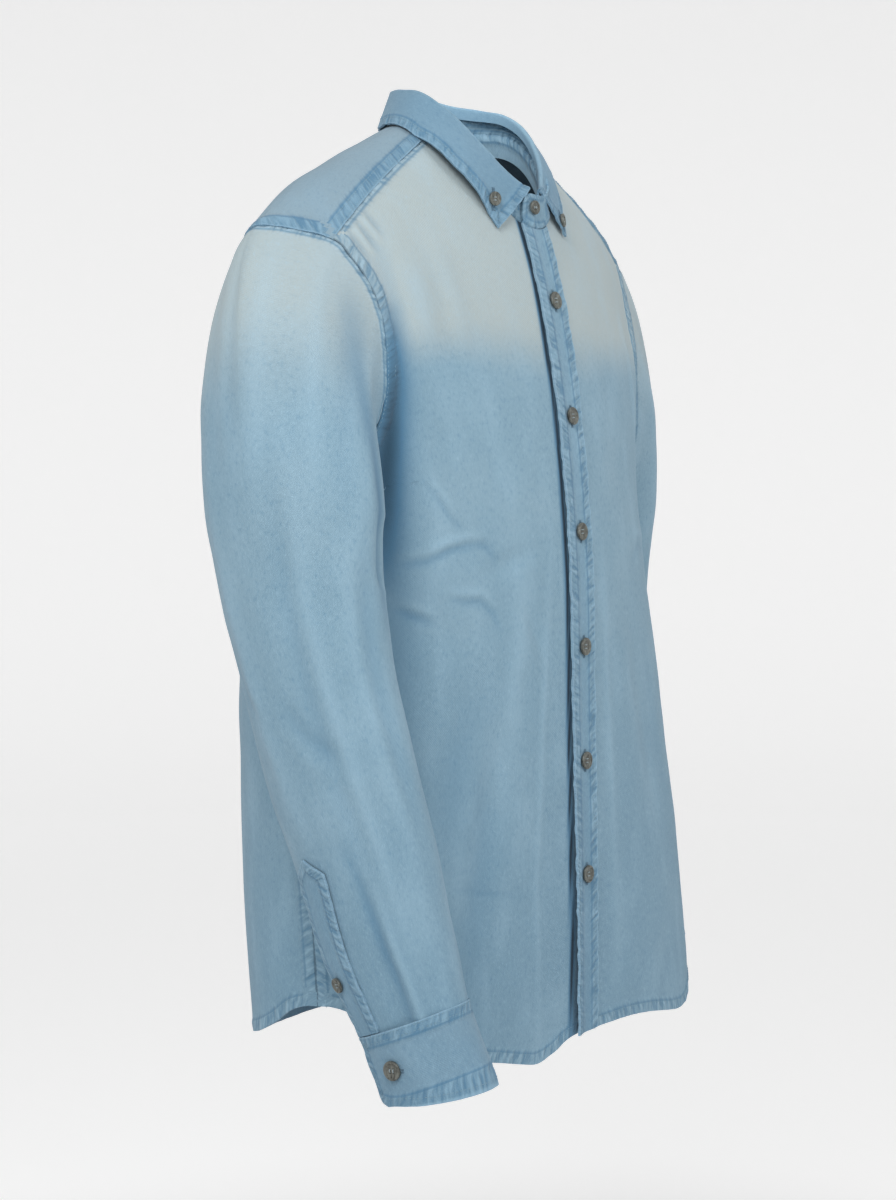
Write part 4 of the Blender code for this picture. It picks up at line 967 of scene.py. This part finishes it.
# ---- the sleeves ---------------------------------------------------------------------------------
# One-piece sleeves set into the armholes, faded from the shoulder down, pleated into the cuffs. The right
# arm bends forward and creases at the elbow; the left one hangs straighter.
SLEEVES = {
    RIGHT: table(
        "height out forward half_out half_along",
        (-0.3150, 0.2655, 0.0380, 0.0500, 0.0700), (-0.3600, 0.2670, 0.0445, 0.0490, 0.0640),
        (-0.4070, 0.2680, 0.0545, 0.0470, 0.0585), (-0.4780, 0.2640, 0.0720, 0.0450, 0.0570),
        (-0.5480, 0.2570, 0.0920, 0.0430, 0.0530), (-0.5900, 0.2530, 0.1020, 0.0420, 0.0505),
        (-0.6240, 0.2490, 0.1130, 0.0400, 0.0465), (-0.6530, 0.2470, 0.1240, 0.0370, 0.0415),
        (-0.7040, 0.2450, 0.1450, 0.0360, 0.0405),
    ),
    LEFT: table(
        "height out forward half_out half_along",
        (-0.3150, 0.2620, -0.0430, 0.0490, 0.0640), (-0.3600, 0.2640, -0.0480, 0.0480, 0.0620),
        (-0.4070, 0.2670, -0.0500, 0.0460, 0.0580), (-0.4780, 0.2760, -0.0460, 0.0440, 0.0550),
        (-0.5480, 0.2830, -0.0350, 0.0430, 0.0520), (-0.5900, 0.2850, -0.0270, 0.0420, 0.0500),
        (-0.6240, 0.2860, -0.0200, 0.0400, 0.0465), (-0.6530, 0.2870, -0.0140, 0.0370, 0.0415),
        (-0.7080, 0.2890, -0.0010, 0.0360, 0.0405),
    ),
}
SLEEVE_TOP, SLEEVE_END = -0.315, -0.653
CUFF_END = {RIGHT: -0.7040, LEFT: -0.7080}
SAMPLE_STEP = 0.004            # for taking directions along the arm
PLEATS = ((27, -0.0030, 8), (40, 0.0028, 9), (62, -0.0018, 9))   # turn, height and width in degrees
PLEAT_LENGTH = 0.085           # the pleats open out over this length above the cuff
WRIST_RADIUS = 0.039


def arm_axis(side, z):
    """Middle of the sleeve at heights, and its directions: down the arm, out and forward."""
    def middle(height):
        return np.stack(np.broadcast_arrays(side * read(SLEEVES[side], height, "out"),
                                            -read(SLEEVES[side], height, "forward"), height), axis=-1)

    level = np.minimum(z, SLEEVE_TOP - SAMPLE_STEP)
    down = unit(middle(level - SAMPLE_STEP) - middle(level + SAMPLE_STEP))
    forward = np.array((0, -1.0, 0))
    forward = unit(forward - down * (down @ forward)[..., None])
    out = np.cross(forward, down) * side
    return middle(z), down, out * np.sign(out[..., :1] * side), forward


def sleeve_point(side, turn, z):
    """Points of the sleeve or the cuff: turn is 0 outward, 90 forward, 180 towards the body."""
    turn, z = np.broadcast_arrays(turn, z)
    middle, _, out, forward = arm_axis(side, z)
    a = np.radians(turn)
    full = 1.0
    near_cuff = np.where(z >= SLEEVE_END, ease((SLEEVE_END + PLEAT_LENGTH - z) / PLEAT_LENGTH), 0)
    for at, height, width in PLEATS:
        full = full + near_cuff * height / WRIST_RADIUS * bell((turn - at + 180) % 360 - 180, 0, width)
    return (middle + out * (read(SLEEVES[side], z, "half_out") * np.cos(a) * full)[..., None]
            + forward * (read(SLEEVES[side], z, "half_along") * np.sin(a) * full)[..., None])


def cap_point(side, k, t):
    """Points from the armhole's point k (t = 0) to the sleeve's first level section (t = 1)."""
    k, t = np.broadcast_arrays(k, t)
    start = armhole(side, k)
    turn = 360 * k / ARMHOLE_POINTS
    end = sleeve_point(side, turn, np.full(turn.shape, SLEEVE_TOP))
    down = unit(sleeve_point(side, turn, np.full(turn.shape, SLEEVE_TOP - SAMPLE_STEP)) - end)
    high = ((1 + np.cos(np.radians(turn))) / 2)[..., None]
    leaving = unit(np.concatenate([side * mix(0.75, 1.0, high), 0 * high, mix(-0.65, -0.55, high)], axis=-1))
    reach = np.linalg.norm(end - start, axis=-1, keepdims=True)
    return curved(t[..., None], start, end,
                  leaving * reach * mix(1.0, 0.55, high), down * reach * mix(0.9, 1.1, high))


# Creases of the sleeves as turn (in degrees) and height: width in metres, height, painted shade (a highlight
# where positive), then the points.
SLEEVE_CREASES = {
    RIGHT: (
        (0.006, 0.0014, 0.26, (24, -0.290), (30, -0.366), (38, -0.448), (44, -0.531), (52, -0.622)),
        (0.007, -0.0016, -0.18, (14, -0.300), (18, -0.370), (24, -0.450), (30, -0.540)),
        (0.008, 0.0016, 0.12, (60, -0.330), (64, -0.420), (70, -0.500), (74, -0.580)),
        (0.009, -0.0018, -0.20, (74, -0.330), (80, -0.440), (86, -0.520)),
        # the sleeve's inner side, turning towards the body: painted shade
        (0.011, -0.0020, -0.85, (66, -0.240), (78, -0.262), (90, -0.282), (102, -0.306), (107, -0.345),
         (107, -0.385)),
        (0.020, -0.0070, -0.10, (112, -0.310), (112, -0.338), (112, -0.366)),
        (0.009, 0.0020, 0.14, (-40, -0.300), (-30, -0.380), (-20, -0.460), (-14, -0.520)),
        (0.008, -0.0018, -0.14, (-60, -0.380), (-40, -0.420), (-20, -0.440)),
        (0.006, -0.0016, -0.22, (2, -0.430), (14, -0.455), (34, -0.470)),
        (0.006, 0.0012, 0.12, (0, -0.446), (12, -0.470), (30, -0.486)),
        (0.0045, -0.0014, -0.60, (18, -0.530), (23, -0.555), (28, -0.585), (31, -0.615), (32, -0.665)),
        (0.004, 0.0012, 0.30, (34, -0.560), (38, -0.600), (41, -0.655)),
    ),
    LEFT: (
        (0.006, 0.0014, 0.20, (24, -0.300), (30, -0.380), (34, -0.460), (38, -0.560)),
        (0.008, -0.0016, -0.14, (-20, -0.320), (-10, -0.400), (0, -0.480)),
        (0.009, 0.0018, 0.14, (-50, -0.330), (-40, -0.420), (-30, -0.520)),
        (0.008, -0.0016, -0.14, (80, -0.330), (100, -0.400), (140, -0.440)),
        (0.008, 0.0016, 0.12, (60, -0.340), (70, -0.430), (74, -0.520)),
    ),
}
# Creases of the sleeve's top as the armhole's point and the way down to the first level section, 0 to 1.
CAP_CREASES = (
    (0.5, 0.0016, 0.22, (2.2, 0.05), (2.6, 0.5), (2.4, 1.0)),
    (0.5, -0.0014, -0.14, (3.6, 0.05), (4.2, 0.5), (4.0, 1.0)),
    (0.4, 0.0012, 0.20, (1.0, 0.03), (0.6, 0.5), (0.2, 0.9)),
    (0.4, -0.0012, -0.10, (0.0, 0.03), (-0.6, 0.5), (-0.8, 0.9)),
    (0.5, 0.0014, 0.14, (5.4, 0.04), (5.8, 0.6), (5.2, 1.0)),
    (0.6, -0.0018, -0.10, (-2.4, 0.05), (-2.0, 0.6), (-1.4, 1.0)),
)
CAP_LONG = 3                   # the length that the sleeve's top counts as, in the armhole's points
CAP_DEEP = 0.10                # and in metres, above the level sections
ARM_RADIUS = 0.058             # the sleeve's mean radius, to give creases their width
SLEEVE_FADE_END, SLEEVE_FADE_LONG = -0.245, 0.105
SLEEVE_TUCK, SLEEVE_TUCK_IN = 0.0022, 0.0024      # how far the top runs on under the seam, and inwards


def sleeve_panel(side, name, fine, seed):
    columns = ARMHOLE_POINTS * fine
    k = np.arange(columns)[None, :] / fine
    t = np.linspace(0, 1, 7 * fine)[:-1, None]
    z = np.linspace(SLEEVE_TOP, SLEEVE_END, 21 * fine)[:, None]
    turn = 360 * k / ARMHOLE_POINTS
    grid = np.concatenate([cap_point(side, k, t), sleeve_point(side, turn, z)])
    depth = np.broadcast_to(np.concatenate([t - 1, SLEEVE_TOP - z]), grid.shape[:2])
    arc = np.radians(np.broadcast_to(np.where(turn > 180, turn - 360, turn), depth.shape)) * ARM_RADIUS
    point = np.broadcast_to(np.where(k > ARMHOLE_POINTS / 2, k - ARMHOLE_POINTS, k), depth.shape)
    creases = [(w, h, s, *[(math.radians(a) * ARM_RADIUS, SLEEVE_TOP - b) for a, b in p])
               for w, h, s, *p in SLEEVE_CREASES[side]]
    height, shade = creased(arc, np.where(depth < 0, depth * CAP_DEEP, depth), creases)
    creases = [(w, h, s, *[(a, b * CAP_LONG) for a, b in p]) for w, h, s, *p in CAP_CREASES]
    cap_depth = np.where(depth < 0, (depth + 1) * CAP_LONG, CAP_LONG + depth * 20)
    cap, cap_shade = creased(point, cap_depth, creases)
    height, shade = height + cap, shade + cap_shade
    run, away = near_seam(grid, armhole_line[side])[0]
    height = height * ease((away - 0.001) / 0.012)
    height += 0.0006 * cloud(arc, grid[..., 2], 0.028, seed)
    height += puckers(run, away, 0.0005, 0.010, seed + 1, 0.014, 0.01)
    heart = grid.mean(axis=1, keepdims=True)
    grid = raised(grid, heart, height, True)
    lower = grid[..., 2] - SLEEVE_FADE_END + 0.010 * cloud(arc, grid[..., 2], 0.06, seed + 2)
    bleach = 0.85 * ease(lower / SLEEVE_FADE_LONG)
    inner = cap_point(side, k, np.full((1, 1), 0.0))
    leave = unit(cap_point(side, k, np.full((1, 1), 0.02)) - inner)
    into = unit(np.array((0, 0.012, -0.30)) - inner)
    hidden = inner - leave * SLEEVE_TUCK + into * SLEEVE_TUCK_IN
    low = sleeve_point(side, turn, np.full((1, 1), SLEEVE_END - 0.0030))   # the pleats close into the cuff
    grid = np.concatenate([hidden, grid, low])
    gone = np.linalg.norm(np.diff(grid, axis=0), axis=2)
    gone = np.concatenate([np.zeros((1, columns)), np.cumsum(gone, axis=0)])
    gone = gone - gone[len(t) + 1]
    around_arm = np.broadcast_to((turn + 180) % 360 * math.radians(ARM_RADIUS), gone.shape)
    run, away, bleach, shade = (
        np.pad(field, ((1, 1), (0, 0)), mode="edge") for field in (run, away + 0.0065, bleach, shade))
    piece = cloth(f"sleeve_{name}_cloth", grid, grid.mean(axis=1, keepdims=True), WALL,
                  (denim_main, denim_inside), (run, away), bleach, shade, (around_arm, gone), closed=True)
    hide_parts(f"sleeve_{name}")


sleeve_panel(RIGHT, "right", 7, 81)
sleeve_panel(LEFT, "left", 5, 91)

# ---- sleeve plackets and cuffs -------------------------------------------------------------------
# A pointed placket of two layers is boxed over each sleeve's slit; the cuff is a straight double band with
# rounded corners, its over end lapping the under end, closed with one button.
SLIT_TURN, SLIT_HALF = 338, 18         # degrees round the sleeve
SLIT_TOP, SLIT_POINT = -0.542, 0.012
BOX_DOWN = 0.022                       # the box of stitches starts this far below the placket's shoulder
CUFF_START, CUFF_TURN = 14, 412        # degrees: the under end's place, and the way round to the over end
CUFF_CORNER, CORNER_LONG = 0.011, 3.5
CUFF_PROUD = 0.0012
UNDER_END_UP = 0.010                   # the under end sits this much higher


def sleeve_placket_panel(side, name):
    w = np.linspace(-1, 1, 19)[None, :]
    t = np.linspace(0, 1, 60)[:, None]
    z = mix(SLIT_TOP + SLIT_POINT * (1 - abs(w)), SLEEVE_END + LAY_GAP, t)
    heart = arm_axis(side, np.float64(SLIT_TOP))[0]
    grid = sleeve_point(side, SLIT_TURN + SLIT_HALF * w, z)
    grid = raised(grid, heart, DOUBLE_WALL + LAY_GAP)
    outline = np.concatenate([grid[::-1, 0], grid[0], grid[:, -1]])
    run, away = near_seam(grid, outline)[0]
    height = puckers(run, away, 0.0004, 0.008, 102, 0.008, 0.004) - 0.0003 * bell(away, 0.0055, 0.0012)
    grid = raised(grid, heart, height)
    piece = cloth(f"sleeve_placket_{name}_cloth", grid, heart, DOUBLE_WALL, (denim_trim, denim_inside),
                  (run, away * 1.5), -0.10)
    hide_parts(f"sleeve_placket_{name}")
    sew(piece.name, outline, 0.0012, 0.0058, step=0.0028)
    across_box = sleeve_point(side, SLIT_TURN + SLIT_HALF * np.linspace(-0.8, 0.8, 12), SLIT_TOP - BOX_DOWN)
    sew(piece.name, across_box, 0.0, 0.004, step=0.0028)


def cuff_panel(side, name):
    gone, t = np.meshgrid(np.linspace(0, CUFF_TURN, 150), np.linspace(0, 1, 30))
    lap = (DOUBLE_WALL + LAY_GAP) * ease((gone - 300) / 50)
    to_end = np.radians(np.minimum(gone, CUFF_TURN - gone)) * WRIST_RADIUS
    higher = UNDER_END_UP * ease(gone / 15) * ease((130 - gone) / 50)
    z = mix(SLEEVE_END - 0.0003, CUFF_END[side] + rounded(CUFF_CORNER, to_end / CORNER_LONG) + higher, t)
    point = sleeve_point(side, CUFF_START - gone, z)
    away = point - arm_axis(side, z)[0]
    grid = point + unit(away) * (lap + CUFF_PROUD)[..., None]
    heart = grid.mean(axis=1, keepdims=True)
    flat = np.stack([np.radians(gone) * 0.041, z, 0 * z], axis=-1)
    run, gap = near_seam(flat, rim(flat))[0]
    height = puckers(run, gap, 0.0005, 0.009, 112, 0.012, 0.006) - 0.0004 * bell(gap, 0.0055, 0.0012)
    height += 0.0005 * cloud(gone * 0.0007, z, 0.025, 113)
    grid = raised(grid, heart, height)
    piece = cloth(f"cuff_{name}_cloth", grid, heart, DOUBLE_WALL, (denim_trim, denim_inside),
                  (run, gap * 1.3), 0.22, -0.08)
    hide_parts(f"cuff_{name}")
    sew(piece.name, np.concatenate([grid[-1, 12:], grid[::-1, -1], grid[0, :12:-1]]), 0.0055)
    sew(piece.name, grid[0, 12:], 0.0014)


for side, name in ((RIGHT, "right"), (LEFT, "left")):
    sleeve_placket_panel(side, name)
    cuff_panel(side, name)

# ---- the buttons ---------------------------------------------------------------------------------
# Thirteen turned buttons of mottled grey-brown horn, each with a raised rim, a dished face and four holes,
# sewn through with thread. They are shown as they are: done up.
def horn_material():
    material, tree, shader = bare("mottled horn")
    place = put(tree, "ShaderNodeTexCoord").outputs["Object"]
    stretched = put(tree, "ShaderNodeVectorMath", {0: place, 1: (1.0, 1.0, 0.45)},
                    operation="MULTIPLY").outputs[0]
    streaks = put(tree, "ShaderNodeTexNoise", {"Vector": stretched, "Scale": 330.0, "Detail": 3.0,
                                               "Roughness": 0.6, "Distortion": 1.4}).outputs["Fac"]
    ramp = put(tree, "ShaderNodeValToRGB", {"Fac": streaks})
    for n, position, colour in ((0, 0.32, (0.024, 0.024, 0.018, 1)), (1, 0.70, (0.165, 0.175, 0.155, 1))):
        ramp.color_ramp.elements[n].position = position
        ramp.color_ramp.elements[n].color = colour
    connect(tree, shader, {"Base Color": ramp.outputs[0], "Roughness": 0.36})
    return material


def plain_thread(name, colour):
    material, tree, shader = bare(name)
    connect(tree, shader, {"Base Color": (*colour, 1), "Roughness": 0.8})
    return material


horn = horn_material()
pale_thread = plain_thread("pale thread", (0.20, 0.32, 0.40))
dark_thread = plain_thread("dark thread", (0.085, 0.150, 0.215))
button_thread = plain_thread("button thread", (0.30, 0.36, 0.38))
BUTTON_HIGH, FACE_HIGH = 0.0026, 0.60      # the dished face's height is a part of the button's
SPOKES = 40
HOLE_APART, HOLE_RADIUS = 0.20, 0.10       # as parts of the button's radius
HOLE_DEEP = 0.0011
THREAD_RADIUS, THREAD_HIGH = 0.00042, 0.0004
BUTTONHOLE_HALF, BUTTONHOLE_STEP, BUTTONHOLE_SIDE = 0.0088, 0.0007, 0.0009
# The button's outline from its back to the middle of its face, as parts of its radius and height.
BUTTON_OUTLINE = (
    (0.80, 0.0), (0.96, 0.14), (1.0, 0.36), (1.0, 0.62), (0.97, 0.84), (0.91, 0.97), (0.85, 1.0),
    (0.79, 0.96), (0.72, 0.80), (0.66, 0.68), (0.58, 0.62),
    *[(r, FACE_HIGH) for r in np.arange(0.52, 0.0, -0.04)],
)


def tube_faces(first, rings, around):
    """The faces of a tube whose rings of points follow each other."""
    return [(a + n, a + m, a + around + m, a + around + n)
            for a in range(first, first + (rings - 1) * around, around)
            for n, m in zip(range(around), [*range(1, around), 0])]


def make_button(node, panel, hole_way):
    corners = np.unique(np.array([v.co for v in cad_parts[node].data.vertices]).round(6), axis=0)
    middle = corners.mean(axis=0)
    face = np.linalg.svd(corners - middle)[2][2]
    radius = np.linalg.norm(np.cross(corners - middle, face), axis=1).max()
    at = surfaces[panel].find_nearest(middle)[0]
    if (middle - np.array(at)) @ face < 0:
        face = -face
    hit = surfaces[panel].ray_cast(Vector(middle + face * 0.010), Vector(-face))[0]
    seat = np.array(at if hit is None else hit) + face * 0.0005
    aside = unit(np.cross(hole_way, face))
    up = np.cross(face, aside)
    angle = np.linspace(0, 2 * math.pi, SPOKES, endpoint=False)
    points = [seat]
    for reach, high in BUTTON_OUTLINE:
        a, b = reach * np.cos(angle), reach * np.sin(angle)
        hole = np.min([np.hypot(a - i, b - j) for i in (-HOLE_APART, HOLE_APART)
                       for j in (-HOLE_APART, HOLE_APART)], axis=0) / HOLE_RADIUS
        deep = np.where(high < 0.61, HOLE_DEEP * ease(1.35 - hole), 0.0) * (reach < 0.55)
        points.extend(seat + (aside * a[n] + up * b[n]) * radius + face * (high * BUTTON_HIGH - deep[n])
                      for n in range(SPOKES))
    last = len(points) - SPOKES
    points.append(seat + face * FACE_HIGH * BUTTON_HIGH)
    faces = tube_faces(1, len(BUTTON_OUTLINE), SPOKES)
    for n in range(SPOKES):
        m = (n + 1) % SPOKES
        faces += [(0, 1 + m, 1 + n), (last + n, last + m, last + SPOKES)]
    horn_faces = len(faces)
    for j in (-HOLE_APART, HOLE_APART):
        first = len(points)
        for t in np.linspace(-1, 1, 9):
            spot = seat + (aside * t * HOLE_APART + up * j) * radius
            spot = spot + face * (FACE_HIGH * BUTTON_HIGH + THREAD_HIGH - HOLE_DEEP * t**6)
            points.extend(spot + (up * math.cos(a) + face * math.sin(a)) * THREAD_RADIUS
                          for a in (math.pi * n / 3 for n in range(6)))
        faces += tube_faces(first, 9, 6)
        faces += [tuple(range(first + 5, first - 1, -1)), tuple(range(first + 48, first + 54))]
    mesh = bpy.data.meshes.new(f"{node}_turned")
    mesh.from_pydata([tuple(p) for p in points], [], faces)
    mesh.materials.append(horn)
    mesh.materials.append(button_thread)
    mesh.polygons.foreach_set("material_index", [int(n >= horn_faces) for n in range(len(faces))])
    shell = bmesh.new()
    shell.from_mesh(mesh)
    bmesh.ops.recalc_face_normals(shell, faces=shell.faces)
    shell.to_mesh(mesh)
    shell.free()
    mesh.shade_smooth()
    mesh.set_sharp_from_angle(angle=math.radians(50))
    piece = placed(mesh.name, mesh)
    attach(piece, "root")
    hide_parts(node)
    # the bars of thread at the ends of the buttonhole, which show beside the button
    for t in np.arange(-BUTTONHOLE_HALF, BUTTONHOLE_HALF + 0.0001, BUTTONHOLE_STEP):
        if abs(t) > radius * 0.93:
            for lean in (-BUTTONHOLE_SIDE, BUTTONHOLE_SIDE):
                spot = surfaces[panel].find_nearest(Vector(seat + up * t + aside * lean))
                threads["dark"].append((spot[0] + spot[1] * 0.00015, spot[1], aside))


UP, ALONG = np.array((0, 0, 1.0)), np.array((1.0, 0, 0))
for n in range(6):
    make_button(f"button_front_{n + 1}", "placket_cloth", UP)
make_button("button_stand", "collar_stand_cloth", ALONG)
for side, name in ((RIGHT, "right"), (LEFT, "left")):
    make_button(f"button_collar_{name}", "collar_cloth", UP)
    make_button(f"button_sleeve_{name}", f"sleeve_placket_{name}_cloth", UP)
    make_button(f"button_cuff_{name}", f"cuff_{name}_cloth", ALONG * side + np.array((0, -1.0, 0)))

# ---- the stitching -------------------------------------------------------------------------------
# Lock stitches of pale thread beside the seams, the hem and every edge, and the darker bars at the ends of
# the buttonholes. Each stitch is one short plump thread, sunk a little into the cloth.
STITCH_LONG, STITCH_WIDE = 0.0022, 0.00052
BAR_LONG, BAR_WIDE = 0.0017, 0.00050


def stitch_tree():
    tree = bpy.data.node_groups.new("stitches", "GeometryNodeTree")
    face = tree.interface
    face.new_socket("Geometry", in_out="INPUT", socket_type="NodeSocketGeometry")
    for label in ("Length", "Width"):
        face.new_socket(label, in_out="INPUT", socket_type="NodeSocketFloat")
    face.new_socket("Thread", in_out="INPUT", socket_type="NodeSocketMaterial")
    face.new_socket("Geometry", in_out="OUTPUT", socket_type="NodeSocketGeometry")
    given = tree.nodes.new("NodeGroupInput").outputs
    bead = put(tree, "GeometryNodeMeshIcoSphere", {"Radius": 0.5, "Subdivisions": 1}).outputs["Mesh"]
    size = put(tree, "ShaderNodeCombineXYZ",
               {"X": given["Length"], "Y": given["Width"], "Z": given["Width"]}).outputs[0]
    bead = put(tree, "GeometryNodeTransform", {"Geometry": bead, "Scale": size}).outputs[0]
    ways = [put(tree, "GeometryNodeInputNamedAttribute", {"Name": label}, data_type="FLOAT_VECTOR").outputs[0]
            for label in ("facing", "run")]
    up = put(tree, "FunctionNodeAlignRotationToVector", {"Vector": ways[0]}, axis="Z").outputs[0]
    turned = put(tree, "FunctionNodeAlignRotationToVector", {"Rotation": up, "Vector": ways[1]}, axis="X",
                 pivot_axis="Z").outputs[0]
    beads = put(tree, "GeometryNodeInstanceOnPoints", {"Points": given["Geometry"], "Instance": bead,
                                                       "Rotation": turned}).outputs[0]
    real = put(tree, "GeometryNodeRealizeInstances", {"Geometry": beads}).outputs[0]
    done = put(tree, "GeometryNodeSetMaterial", {"Geometry": real, "Material": given["Thread"]}).outputs[0]
    tree.links.new(done, tree.nodes.new("NodeGroupOutput").inputs[0])
    return tree


stitches = stitch_tree()


def stitching(name, rows, long, wide, material):
    dots = bpy.data.meshes.new(f"{name}_dots")
    dots.from_pydata([tuple(row[0]) for row in rows], [], [])
    for label, n in (("facing", 1), ("run", 2)):
        values = np.array([tuple(row[n]) for row in rows], dtype=np.float32).ravel()
        dots.attributes.new(label, "FLOAT_VECTOR", "POINT").data.foreach_set("vector", values)
    source = placed(f"{name}_dots", dots)
    maker = source.modifiers.new("stitches", "NODES")
    maker.node_group = stitches
    sockets = {item.name: item.identifier for item in stitches.interface.items_tree if item.in_out == "INPUT"}
    for label, value in (("Length", long), ("Width", wide), ("Thread", material)):
        maker[sockets[label]] = value
    shape = bpy.data.meshes.new_from_object(source.evaluated_get(bpy.context.evaluated_depsgraph_get()))
    bpy.data.objects.remove(source)
    shape.name = name
    shape.shade_smooth()
    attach(placed(name, shape), "root")


stitching("stitching", threads["pale"], STITCH_LONG, STITCH_WIDE, pale_thread)
stitching("buttonhole_stitching", threads["dark"], BAR_LONG, BAR_WIDE, dark_thread)

# ---- the studio ----------------------------------------------------------------------------------
# A pale floor, pale surroundings and large soft lights; the camera stands off the wearer's right front.
pale, tree, paint = bare("studio floor")
place = put(tree, "ShaderNodeTexCoord").outputs["Object"]
apart = put(tree, "ShaderNodeVectorMath", {0: place, 1: (1, 1, 0)}, operation="MULTIPLY").outputs[0]
apart = put(tree, "ShaderNodeVectorMath", {0: apart}, operation="LENGTH").outputs["Value"]
glow = put(tree, "ShaderNodeMapRange",
           {"Value": apart, "From Min": 0.6, "From Max": 1.7, "To Min": 0.0, "To Max": 0.42},
           interpolation_type="SMOOTHSTEP").outputs[0]
connect(tree, paint, {"Base Color": (0.80, 0.80, 0.80, 1), "Roughness": 1.0, "Specular IOR Level": 0.0,
                      "Emission Color": (1, 1, 1, 1), "Emission Strength": glow})
FLOOR_HEIGHT, FLOOR_RADIUS, RIM_RADIUS, RIM_RISE = -1.35, 5.0, 9.0, 5.0


def studio_floor(rings=39, spokes=96):
    points = [(0, 0, FLOOR_HEIGHT)]
    for radius in np.linspace(0, 1, rings + 1)[1:] * RIM_RADIUS:
        rise = RIM_RISE * float(ease(max(0.0, radius - FLOOR_RADIUS) / (RIM_RADIUS - FLOOR_RADIUS)))
        for a in 2 * math.pi * np.arange(spokes) / spokes:
            points.append((radius * math.cos(a), radius * math.sin(a), FLOOR_HEIGHT + rise))
    faces = [(0, 1 + n, 1 + (n + 1) % spokes) for n in range(spokes)]
    faces += [ring[::-1] for ring in tube_faces(1, rings, spokes)]
    mesh = bpy.data.meshes.new("studio_floor")
    mesh.from_pydata(points, [], faces)
    mesh.shade_smooth()
    mesh.materials.append(pale)
    placed("studio_floor", mesh)


studio_floor()
world = bpy.data.worlds.new("studio")
bpy.context.scene.world = world
world.use_nodes = True
connect(world.node_tree, world.node_tree.nodes["Background"], {"Color": (1, 1, 1, 1), "Strength": 0.30})

for name, spot, aim, size, power in (
    ("key", (-1.55, -0.60, 1.05), (0, 0, -0.35), 1.0, 24.0),
    ("fill", (0.2, -2.1, 0.9), (0, 0, -0.35), 1.4, 14.0),
    ("top", (0.1, 0.3, 1.9), (0, 0, -0.35), 1.4, 6.0),
    ("neck", (0.0, 0.0, 0.060), (0.09, 0.02, -0.03), 0.06, 0.030),
):
    lamp = bpy.data.lights.new(name, "AREA")
    lamp.shape, lamp.size, lamp.energy = "DISK", size, power
    light = placed(name, lamp)
    light.location = spot
    light.rotation_euler = (Vector(aim) - Vector(spot)).to_track_quat("-Z", "Y").to_euler()
    light.visible_camera = False

CAMERA_AT, CAMERA_TURN, CAMERA_UP, CAMERA_AWAY = Vector((0, 0, -0.38)), -56.0, 4.0, 1.9
IMAGE_WIDTH, IMAGE_HEIGHT, FOCAL_PIXELS, TARGET_COLUMN = 896, 1200, 2356, 465
lens = bpy.data.cameras.new("camera")
lens.sensor_width = 36
lens.lens = FOCAL_PIXELS * lens.sensor_width / IMAGE_HEIGHT
lens.shift_x = -(TARGET_COLUMN - IMAGE_WIDTH / 2) / IMAGE_HEIGHT
camera = placed("camera", lens)
turn, up = math.radians(CAMERA_TURN), math.radians(CAMERA_UP)
away = Vector((math.sin(turn) * math.cos(up), -math.cos(turn) * math.cos(up), math.sin(up)))
camera.location = CAMERA_AT + away * CAMERA_AWAY
camera.rotation_euler = (-away).to_track_quat("-Z", "Y").to_euler()
bpy.context.scene.camera = camera
bpy.context.scene.view_settings.view_transform = "Standard"
